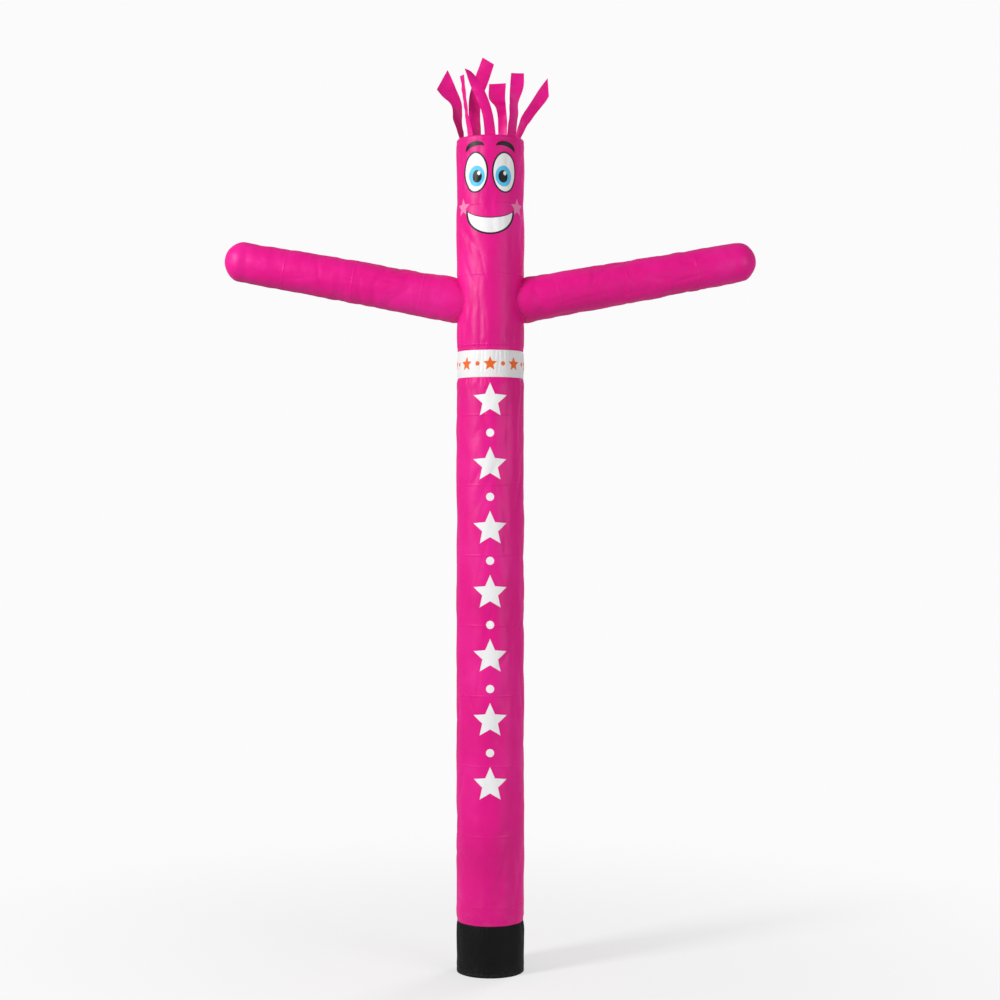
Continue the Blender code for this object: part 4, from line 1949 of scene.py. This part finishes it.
@dataclass
class LappedLength(TubeLength):
    """A length whose folded bottom hem laps over the length below.

    The seam rows are how far above its own seam the stitches run. The back seam's stitches start
    so far above that seam and stop so far below the top.
    """

    seam_name: str = ""
    back_name: str = ""
    seam_rows: Row = (0.0042, 0.0125)
    back_start: float = 0.018
    back_stop: float = 0.008
    first_row: float = 0.010
    fine_pitch: float = 0.008

    @abstractmethod
    def ends(self) -> Row:
        """Gives the heights of the seam where the length starts and of the one where it ends."""

    def stops(self) -> list[Row]:
        """Lists where the plain cloth's rows change their pitch, and the pitches."""
        seam, top = self.ends()
        return [(seam + self.first_row, self.fine_pitch), (top - self.skin.tuck_start, 0.0)]

    def top_rows(self) -> list[Row]:
        """Lists the rows of the top edge, which is tucked inside the length above.

        Returns:
            Their heights, and how deep in the skin they lie.
        """
        skin, top, tuck = self.skin, self.ends()[1], self.skin.tuck
        rows = [(top - skin.tuck_start + 0.0022, 0.0006), (top - skin.tuck_end, tuck + 0.0002)]
        return rows + [(top + rise, tuck + 0.0001) for rise in (0.009, skin.lap)]

    def top_stitched(self) -> dict[str, Stitching]:
        """Names the stitches of the top edge. A tucked edge has none of its own."""
        return {}

    def route(self) -> list[Row]:
        """Lists the rows: down inside the hem, round its edge, up outside and to the top edge.

        Returns:
            Their heights, and how deep in the skin they lie.
        """
        rows = [(self.ends()[0] + rise, sunk) for rise, sunk in LAPPED_HEM]
        return rows + [(height, 0.0) for height in spaced(self.stops())] + self.top_rows()

    def stitched(self) -> dict[str, Stitching]:
        """Names the stitches of the seam, the top edge and the back, and lists their rows.

        Returns:
            The rows' curves and lengths, by the stitches' name.
        """
        seam, top = self.ends()
        rows = {self.seam_name: self.rings(*(seam + rise for rise in self.seam_rows))}
        back = self.uprights(seam + self.back_start, top - self.back_stop)
        return rows | self.top_stitched() | {self.back_name: back}

    def cut_height(self) -> float:
        """Tells how high the panel was cut, with its laps."""
        seam, top = self.ends()
        return top - seam + 2 * self.skin.lap


@dataclass
class LowerBody(LappedLength):
    """The long pink panel with its column of stars."""

    node: str = "lower_body"
    columns: int = 176
    seam_name: str = "sleeve_seam_stitches"
    back_name: str = "lower_back_stitches"
    coarse_pitch: float = 0.017
    fine_above: float = 0.130
    fine_below: float = 0.126

    def ends(self) -> Row:
        """Gives the heights of the seam over the sleeve and of the one under the band."""
        return self.skin.sleeve_top, self.skin.band_bottom

    def stops(self) -> list[Row]:
        """Lists where the rows change their pitch: they are finer near the two seams.

        Returns:
            The heights, and the pitch from there up.
        """
        seam, top = self.ends()
        first, last = super().stops()
        middle = [(seam + self.fine_above, self.coarse_pitch)]
        return [first, *middle, (top - self.fine_below, self.fine_pitch), last]


@dataclass
class WhiteBand(LappedLength):
    """The white band with its row of small stars."""

    node: str = "white_band"
    seam_name: str = "band_seam_stitches"
    back_name: str = "band_back_stitches"

    def ends(self) -> Row:
        """Gives the heights of the band's two seams."""
        return self.skin.band_bottom, self.skin.band_top


@dataclass
class UpperBody(LappedLength):
    """The pink chest and head, with a hole on each side for an arm and a hem at the open top."""

    node: str = "upper_body"
    seam_name: str = "chest_seam_stitches"
    back_name: str = "upper_back_stitches"
    back_stop: float = 0.036
    rim_rows: Row = (0.0265, 0.0215)
    coarse_pitch: float = 0.016
    coarse_from: float = 4.90
    coarse_to: float = 5.50
    hem: float = 0.030
    hem_step: float = 0.003
    turned_in: float = 0.0026
    hole_margin: float = 0.012

    def ends(self) -> Row:
        """Gives the heights of the seam over the band and of the rim."""
        return self.skin.band_top, self.skin.rim

    def stops(self) -> list[Row]:
        """Lists where the rows change their pitch: they are coarser above the arms.

        Returns:
            The heights, and the pitch from there up.
        """
        first = super().stops()[0]
        middle = [(self.coarse_from, self.coarse_pitch), (self.coarse_to, self.fine_pitch)]
        return [first, *middle, (self.skin.rim - self.hem - self.hem_step, 0.0)]

    def top_rows(self) -> list[Row]:
        """Lists the rows of the hem: up to the rim, round it and down inside.

        Returns:
            Their heights, and how deep in the skin they lie.
        """
        rim = self.skin.rim
        rows = [(rim - self.hem, 0.0005), (rim - self.hem + self.hem_step, 0.0)]
        rows += [(rim - drop, 0.0) for drop in (0.021, 0.016, 0.011, 0.007, 0.0035, 0.0012)]
        rows += [(rim, 0.0010), (rim - 0.0012, 0.0020)]
        return rows + [(rim - drop, self.turned_in) for drop in (0.0040, 0.010, 0.018, self.hem)]

    def top_stitched(self) -> dict[str, Stitching]:
        """Names the stitches round the rim's hem, and lists their rows."""
        return {"rim_hem_stitches": self.rings(*(self.skin.rim - drop for drop in self.rim_rows))}

    def cut_height(self) -> float:
        """Tells how high the panel was cut, with its lap and its hem."""
        return self.skin.rim - self.skin.band_top + self.skin.lap + self.hem

    def open_up(self, cloth: bpy.types.Object) -> float:
        """Cuts the arms' holes, each a seam allowance smaller than its arm.

        Args:
            cloth: The sewn panel, not yet thickened.

        Returns:
            The area of the holes.
        """
        mesh = cloth.data
        for arm in self.skin.arms.values():
            outside = arm.seen_from_axis(corners_of(mesh))[1] + self.hole_margin > 0
            active(cloth)
            bpy.ops.object.mode_set(mode="EDIT")
            bpy.ops.mesh.select_all(action="DESELECT")
            bpy.ops.object.mode_set(mode="OBJECT")
            for face in mesh.polygons:
                face.select = not any(outside[number] for number in face.vertices)
            bpy.ops.object.mode_set(mode="EDIT")
            bpy.ops.mesh.select_mode(type="FACE")
            bpy.ops.mesh.delete(type="FACE")
            bpy.ops.mesh.select_mode(type="VERT")
            bpy.ops.object.mode_set(mode="OBJECT")
        radii = [arm.root_radius - self.hole_margin for arm in self.skin.arms.values()]
        return sum(pi * radius**2 for radius in radii)


# ---------------------------------------------------------------- the arms


@dataclass
class Arm:
    """One tapered arm: a panel rolled up, sewn along its back, gathered at its tip.

    The root's two rows of stitches are so far from the root seam. The back seam's two are so many
    degrees to each side of it, and start clear of the root. The probe is how far below the skin a
    point is taken to tell which way is out.
    """

    tube: TubeSkin
    skin: ArmSkin
    dress: Dress
    node: str
    columns: int = 152
    row_stops: tuple[Row, ...] = ((0.0, 0.0035), (0.014, 0.0065), (1.0, 0.0))
    tip_rows: int = 16
    root_gap: float = 0.0003
    search: Row = (0.05, 0.40)
    search_steps: int = 24
    pinch: float = 0.0012
    pinch_reach: float = 0.0045
    stitch_rows: Row = (0.0055, 0.0125)
    root_slack: float = 1.06
    back_turn: float = 1.3
    back_start: float = 0.02
    probe: float = 0.02
    thread: Thread = Thread()

    def root_seam(self, angle: Array) -> Array:
        """Finds where the root seam is, on the tube's own skin.

        Args:
            angle: Degrees round the arm.

        Returns:
            How far along the arm the seam is at each angle.
        """
        low, high = (np.full(angle.shape, end) for end in self.search)
        for _ in range(self.search_steps):
            middle = (low + high) / 2
            points = self.skin.root_place(angle, middle)
            turn, reach = turn_and_reach(points)
            outside = reach > self.tube.radius_at(turn, points[..., 2]) + self.root_gap
            low, high = np.where(outside, low, middle), np.where(outside, middle, high)
        return high

    def lay(self) -> bpy.types.Object:
        """Rolls the arm's panel, from its root seam to its gathered tip.

        Returns:
            The sewn panel, not yet thickened.
        """
        skin = self.skin
        angle = skin.seam.columns(self.columns)
        root = self.root_seam(angle)
        along = root + (skin.end_at - root) * np.array(spaced(self.row_stops))[:, None]
        reach = np.sin(np.linspace(0, pi / 2, self.tip_rows))[1:-1, None]
        tip = [[skin.end_at + skin.cap_depth]]
        cap = np.concatenate([skin.end_at + skin.cap_depth * reach, tip])
        along = np.concatenate([along, np.broadcast_to(cap, (len(cap), len(angle)))])
        away = along - root
        pinched = self.pinch * np.exp(-((away / self.pinch_reach) ** 2)) * (away > 0)
        places = skin.place(np.broadcast_to(angle, along.shape), along, away, pinched)
        places[-1] = places[-1].mean(0)
        girth = np.radians(angle) * (skin.root_radius + skin.end_radius) / 2
        cloth = np.stack(np.broadcast_arrays(girth[None, :], along), -1)
        return sewn_panel(f"{self.node}_cloth", places, cloth)

    def on_cloth(self, angle: Array, away: Array) -> tuple[Array, Array]:
        """Places stitches on the arm.

        Args:
            angle: Degrees round the arm.
            away: Metres along it from its root seam.

        Returns:
            The places and their outward directions.
        """
        along = self.root_seam(angle) + away
        places = self.skin.place(angle, along, away)
        return places, places - self.skin.place(angle, along, away, self.probe)

    def root_row(self, in_by: float, share: Array) -> tuple[Array, Array]:
        """Places shares of a row of stitches round the arm, some way from its root seam."""
        return self.on_cloth(360 * share - 180, np.full_like(share, in_by))

    def back_row(self, turn: float, share: Array) -> tuple[Array, Array]:
        """Places stitches beside the back seam.

        Args:
            turn: How many degrees they are from it.
            share: How far along the row each place is, from 0 to 1.

        Returns:
            The places and their outward directions.
        """
        angle = np.full_like(share, 180 + turn)
        length = self.skin.end_at - self.root_seam(angle) - self.back_start
        return self.on_cloth(angle, self.back_start + length * share)

    def build(self) -> None:
        """Sews the arm and its stitching, and hands them in."""
        skin, dress = self.skin, self.dress
        cloth = self.lay()
        thicken(cloth)
        hand_in(cloth, dress.cloth, self.node)
        girth, end_girth = 2 * pi * skin.root_radius, 2 * pi * skin.end_radius
        length = skin.end_at - skin.root_at
        seam, turns = girth * self.root_slack, (-self.back_turn, self.back_turn)
        rows = {
            "root": [(partial(self.root_row, in_by), seam) for in_by in self.stitch_rows],
            "back": [(partial(self.back_row, turn), length) for turn in turns],
        }
        sewn = [self.thread.sew(f"{self.node}_{name}_stitches", row) for name, row in rows.items()]
        for stitches in sewn:
            hand_in(stitches, dress.thread, self.node)


# ---------------------------------------------------------------- the hair


@dataclass(frozen=True)
class Section:
    """A section across a hair strip.

    It is rise metres above the rim, side metres towards +X and depth metres towards +Y. The turn
    is the heading of the strip's width and slant its tilt, in degrees.
    """

    rise: float
    side: float
    depth: float
    width: float
    turn: float
    slant: float


@dataclass(frozen=True)
class HairStrip:
    """A cut strip of pink nylon that stands on the tape, blown up by the air.

    The cup is how far its middle bulges and the flutter how far its edges wave. The sway, the
    ripple and the crinkle are waves along it, and the phase is where they start. The sway's share
    is its size beside the edges' ripple, which lags across the strip.
    """

    name: str
    root_angle: float
    root_width: float
    sections: tuple[Section, ...]
    cup: float
    flutter: float
    phase: float
    columns: int = 14
    steps: int = 16
    tail: float = 0.026
    sway: float = 0.16
    sway_share: float = 0.6
    ripple: float = 0.105
    ripple_lag: float = 2.1
    crinkle: float = 0.062
    crinkle_phase: float = 1.7
    crinkle_height: float = 0.0007
    free_after: float = 0.010
    free_over: float = 0.10

    def rows(self, tape: float, rim: float) -> Array:
        """Draws a smooth curve through the strip's sections, from its sewn tail to its cut end.

        Args:
            tape: The tape's radius.
            rim: The rim's height.

        Returns:
            The numbers of each section.
        """
        chord = tape * cos(self.root_width / 2 / tape)
        foot = around(np.array(self.root_angle), chord, np.array(0.0))
        root = Section(0.0, foot[0], foot[1], self.root_width, self.root_angle, 0.0)
        knots = [np.array(astuple(section)) for section in (root, *self.sections)]
        down = np.array([1.0, 0, 0, 0, 0, 0])
        made = [knots[0] - down * self.tail * share for share in (1.0, 0.6, 0.25)]
        knots = [knots[0] - down * knots[1][0], *knots, knots[-1] * 2 - knots[-2]]
        weights = np.stack(spline(np.arange(self.steps) / self.steps), -1)
        for index in range(len(knots) - 3):
            made += list(weights @ np.array(knots[index : index + 4]))
        rows = np.array([*made, knots[-2]])
        rows[:, 0] += rim
        return rows

    def lay(self, tape: float, rim: float) -> tuple[bpy.types.Object, Row, float]:
        """Lays the strip along its curve, with its edges curled and fluttering a little.

        Args:
            tape: The tape's radius.
            rim: The rim's height.

        Returns:
            The laid strip, the width and length it was cut to, and its flat area.
        """
        rows = self.rows(tape, rim)
        centre, width = rows[:, [1, 2, 0]], rows[:, 3]
        turn, slant = np.radians(rows[:, 4]), np.radians(rows[:, 5])
        level = np.cos(slant)
        across = np.stack([np.cos(turn) * level, np.sin(turn) * level, np.sin(slant)], -1)
        outwards = unit(np.cross(across, np.gradient(centre, axis=0)))
        run = np.concatenate([[0.0], np.cumsum(np.linalg.norm(np.diff(centre, axis=0), axis=1))])
        along, share = run[:, None], np.linspace(-1, 1, self.columns + 1)[None, :]
        wave = np.sin(along * 2 * pi / self.sway + self.phase)
        edge = np.sin(along * 2 * pi / self.ripple + self.phase + self.ripple_lag * share)
        wave = self.sway_share * wave + edge * share**2
        lift = self.cup * (1 - share**2) + self.flutter * wave
        crease = np.sin(along * 2 * pi / self.crinkle + self.crinkle_phase * self.phase)
        lift = lift + self.crinkle_height * crease * (1 - 0.5 * share)
        lift = lift * eased((along - self.tail - self.free_after) / self.free_over)
        half = share * width[:, None] / 2
        places = centre[:, None, :] + across[:, None, :] * half[..., None]
        places = places + outwards[:, None, :] * (lift + THICKNESS / 2)[..., None]
        # each strip lies on its own part of the flat cloth
        cloth = np.stack(np.broadcast_arrays(half, along), -1) + (self.root_angle / 90, 7.0)
        area = float(np.trapz(width, run))
        strip = sewn_panel(self.name, places, cloth)
        return strip, (float(width.max()), float(run[-1])), area


HAIR_STRIPS = (
    HairStrip("hair_strip_far_left", -116, 0.066, (
        Section(0.150, -0.222, 0.100, 0.074, -140, 0),
        Section(0.262, -0.231, 0.090, 0.074, -165, -8),
        Section(0.345, -0.281, 0.070, 0.108, -180, -38),
        Section(0.425, -0.328, 0.050, 0.152, -180, -61),
    ), 0.004, 0.0020, 0.4),
    HairStrip("hair_strip_thin", -38.5, 0.046, (
        Section(0.145, -0.157, -0.158, 0.048, -62, 0),
        Section(0.276, -0.173, -0.145, 0.054, -64, 0),
        Section(0.416, -0.190, -0.125, 0.058, -64, 0),
    ), -0.003, 0.0015, 1.9),
    HairStrip("hair_strip_front", 0, 0.074, (
        Section(0.134, -0.017, -0.212, 0.070, 4, 6),
        Section(0.233, -0.049, -0.205, 0.073, 0, 14),
        Section(0.326, -0.092, -0.200, 0.070, 0, 24),
        Section(0.435, -0.147, -0.190, 0.052, 24, -20),
    ), 0.004, 0.0018, 3.1),
    HairStrip("hair_strip_tall", -152, 0.084, (
        Section(0.215, -0.110, 0.180, 0.080, -172, 0),
        Section(0.336, -0.100, 0.168, 0.088, -180, 10),
        Section(0.443, -0.061, 0.150, 0.096, -180, 22),
        Section(0.572, -0.014, 0.130, 0.092, -180, 31),
    ), -0.004, 0.0020, 4.4),
    HairStrip("hair_strip_flag", 157, 0.068, (
        Section(0.160, 0.084, 0.192, 0.064, 170, 0),
        Section(0.262, 0.072, 0.165, 0.070, 180, -10),
        Section(0.322, 0.046, 0.135, 0.112, 180, -6),
        Section(0.414, 0.049, 0.120, 0.116, 180, -3),
    ), 0.004, 0.0022, 5.2),
    HairStrip("hair_strip_upright", 42.8, 0.078, (
        Section(0.132, 0.157, -0.165, 0.072, 36, 0),
        Section(0.223, 0.160, -0.170, 0.066, 24, 2),
        Section(0.322, 0.178, -0.172, 0.092, 8, 4),
        Section(0.420, 0.184, -0.168, 0.087, 6, 0),
    ), -0.004, 0.0018, 0.9),
    HairStrip("hair_strip_far_right", 120.6, 0.066, (
        Section(0.108, 0.212, 0.116, 0.068, 140, 30),
        Section(0.185, 0.252, 0.124, 0.074, 165, 40),
        Section(0.275, 0.314, 0.132, 0.080, 180, 50),
        Section(0.395, 0.398, 0.140, 0.124, 180, 86),
    ), 0.004, 0.0020, 2.6),
)


@dataclass
class HairFringe:
    """The seven cut strips on their tape, sewn inside the rim."""

    skin: TubeSkin
    dress: Dress
    node: str = "hair_fringe"
    tape_rows: tuple[float, ...] = (0.030, 0.022, 0.012, 0.005, 0.0)
    hem_cloth: float = 0.003
    solid_sides: int = 36
    gap: float = 0.0003
    behind: float = 0.0012
    before: float = 0.001
    columns: int = 180

    def tape_radius(self) -> float:
        """Gives the radius of the tape's outer face at the rim, inside the solid rim's flats."""
        inside = self.skin.radius - self.skin.rim_draw - self.hem_cloth
        return inside * cos(pi / self.solid_sides) - self.gap

    def tape(self) -> bpy.types.Object:
        """Rolls the tape into its ring, which follows the curl of the rim.

        Returns:
            The tape, not yet thickened.
        """
        skin = self.skin
        angle = np.linspace(-180, 180, self.columns + 1)[None, :]
        height = (skin.rim - np.array(self.tape_rows))[:, None]
        curl = np.maximum(height - skin.rim + skin.rim_curl, 0.0) / skin.rim_curl
        radius = self.tape_radius() + skin.rim_draw * (1 - curl**2) - self.behind
        cloth = np.stack(np.broadcast_arrays(np.radians(angle) * radius, height), -1)
        return sewn_panel("hair_tape", around(angle, radius, height), cloth)

    def build(self) -> None:
        """Sews the tape and the strips, and hands them in."""
        tape, radius = self.tape(), self.tape_radius()
        thicken(tape)
        hand_in(tape, self.dress.cloth, self.node)
        curl, draw = self.skin.rim_curl, self.skin.rim_draw
        flat = (self.tape_rows[0] - curl + hypot(curl, draw), 2 * pi * (radius + draw))
        for strip in HAIR_STRIPS:
            ribbon, flat, area = strip.lay(radius - self.before, self.skin.rim)
            thicken(ribbon)
            hand_in(ribbon, self.dress.cloth, self.node)


# ---------------------------------------------------------------- the studio


@dataclass(frozen=True)
class PaintedFloor:
    """Pale matt floor paint with a painted glow. Near the dancer a share of it glows, which
    lightens the dancer's shadow, and far away it glows fully into the white surround, so no edge
    shows.
    """

    name: str = "painted_studio_floor"
    colour: str = "F6F6F6"
    paper: str = "FBFBFB"
    roughness: float = 0.75
    gloss: float = 0.1
    fade: Row = (0.4, 5.5)
    least: float = 0.55
    glow: float = 0.42

    def make(self) -> bpy.types.Material:
        """Makes the material.

        Returns:
            The finished material.
        """
        material, tree, shader, place = new_material(self.name)
        feeds = {"Base Color": linear(self.colour), "Roughness": self.roughness}
        feed(tree, shader, feeds | {"Specular IOR Level": self.gloss})
        away = add_node(tree, "VectorMath", {0: place}, 1, operation="LENGTH")
        # painted light: at least the share least of the floor glows, even in the dancer's shadow
        feeds = {0: away, 1: self.fade[0], 2: self.fade[1], 3: self.least, 4: 1.0}
        far = add_node(tree, "MapRange", feeds, interpolation_type="SMOOTHSTEP")
        seen = add_node(tree, "LightPath", out="Is Camera Ray")
        strength = add_node(tree, "MapRange", {0: seen, 3: self.glow, 4: 1.0})
        glow = add_node(tree, "Emission", {"Color": linear(self.paper), "Strength": strength})
        mixed = add_node(tree, "MixShader", {0: far, 1: shader.outputs[0], 2: glow})
        feed(tree, tree.nodes["Material Output"], {"Surface": mixed})
        return material


@dataclass(frozen=True)
class Lamp:
    """A square soft box, its place, power and size, and whether it shows in the cloth's gloss."""

    name: str
    place: Stretch
    power: float
    size: float
    glints: bool = True

    def hang(self, aim: Vector) -> None:
        """Hangs the lamp, facing a point.

        Args:
            aim: The point that it faces.
        """
        light = bpy.data.lights.new(self.name, "AREA")
        light.energy = self.power
        light.size = self.size
        lamp = bpy.data.objects.new(self.name, light)
        lamp.visible_glossy = self.glints
        lamp.location = self.place
        lamp.rotation_euler = (aim - Vector(self.place)).to_track_quat("-Z", "Y").to_euler()
        bpy.context.scene.collection.objects.link(lamp)


@dataclass
class Studio:
    """The pale floor, the soft lights and the level camera."""

    eye: Stretch = (0.066, -12.5, 3.19)
    lens: float = 66.3
    sensor: float = 36.0
    far_clip: float = 500.0
    floor_radius: float = 60.0
    floor_sides: int = 128
    surround: float = 0.35
    lamp_aim: float = 3.1
    paint: PaintedFloor = PaintedFloor()
    lamps: tuple[Lamp, ...] = (
        Lamp("key_light", (-9.3, -6.4, 8.0), 1040.0, 2.4),
        Lamp("fill_light", (9.0, -8.0, 4.0), 350.0, 5.0),
        Lamp("rim_light", (6.0, 9.0, 8.0), 460.0, 4.0, glints=False),
    )

    def surroundings(self) -> None:
        """Lights the scene softly from all round, in front of white paper."""
        world = bpy.data.worlds.new("studio")
        bpy.context.scene.world = world
        world.use_nodes = True
        tree = world.node_tree
        tree.nodes.clear()
        light = add_node(tree, "Background", {"Color": (1, 1, 1, 1), "Strength": self.surround})
        feeds = {"Color": linear(self.paint.paper), "Strength": 1.0}
        paper = add_node(tree, "Background", feeds)
        seen = add_node(tree, "LightPath", out="Is Camera Ray")
        mixed = add_node(tree, "MixShader", {0: seen, 1: light, 2: paper})
        feed(tree, tree.nodes.new("ShaderNodeOutputWorld"), {"Surface": mixed})

    def floor(self) -> None:
        """Lays the round floor."""
        bpy.ops.object.select_all(action="DESELECT")
        bpy.ops.mesh.primitive_circle_add(
            vertices=self.floor_sides, radius=self.floor_radius, fill_type="NGON"
        )
        floor = bpy.context.object
        floor.name = "studio_floor"
        floor.data.materials.append(self.paint.make())

    def camera(self) -> None:
        """Sets the camera level, at the dancer's middle height."""
        data = bpy.data.cameras.new("camera")
        data.lens = self.lens
        data.sensor_width = self.sensor
        data.clip_end = self.far_clip
        camera = bpy.data.objects.new("camera", data)
        camera.location = self.eye
        camera.rotation_euler = (pi / 2, 0, 0)
        bpy.context.scene.collection.objects.link(camera)
        bpy.context.scene.camera = camera

    def build(self) -> None:
        """Sets up the whole studio."""
        self.surroundings()
        self.floor()
        for lamp in self.lamps:
            lamp.hang(Vector((0, 0, self.lamp_aim)))
        self.camera()
        bpy.context.scene.view_settings.view_transform = "Standard"


def main() -> None:
    """Builds the studio and every sewn piece."""
    logging.basicConfig(level=logging.INFO, format="%(name)s %(message)s")
    Studio().build()
    finishes = Finishes.mixed()
    tube = TubeSkin({side: ArmSkin(side) for side in Side})
    arms = [
        Arm(tube, tube.arms[Side.LEFT], finishes.plain, "arm_left"),
        Arm(tube, tube.arms[Side.RIGHT], finishes.plain, "arm_right"),
    ]
    blower = Blower()
    tube.blow_up(blower)
    for arm in arms:
        arm.skin.blow_up(arm.root_seam, blower)
    BaseSleeve(tube, finishes.sleeve).build()
    LowerBody(tube, finishes.starred).build()
    WhiteBand(tube, finishes.band).build()
    UpperBody(tube, finishes.faced).build()
    for arm in arms:
        arm.build()
    HairFringe(tube, finishes.plain).build()


if __name__ == "__main__":
    main()
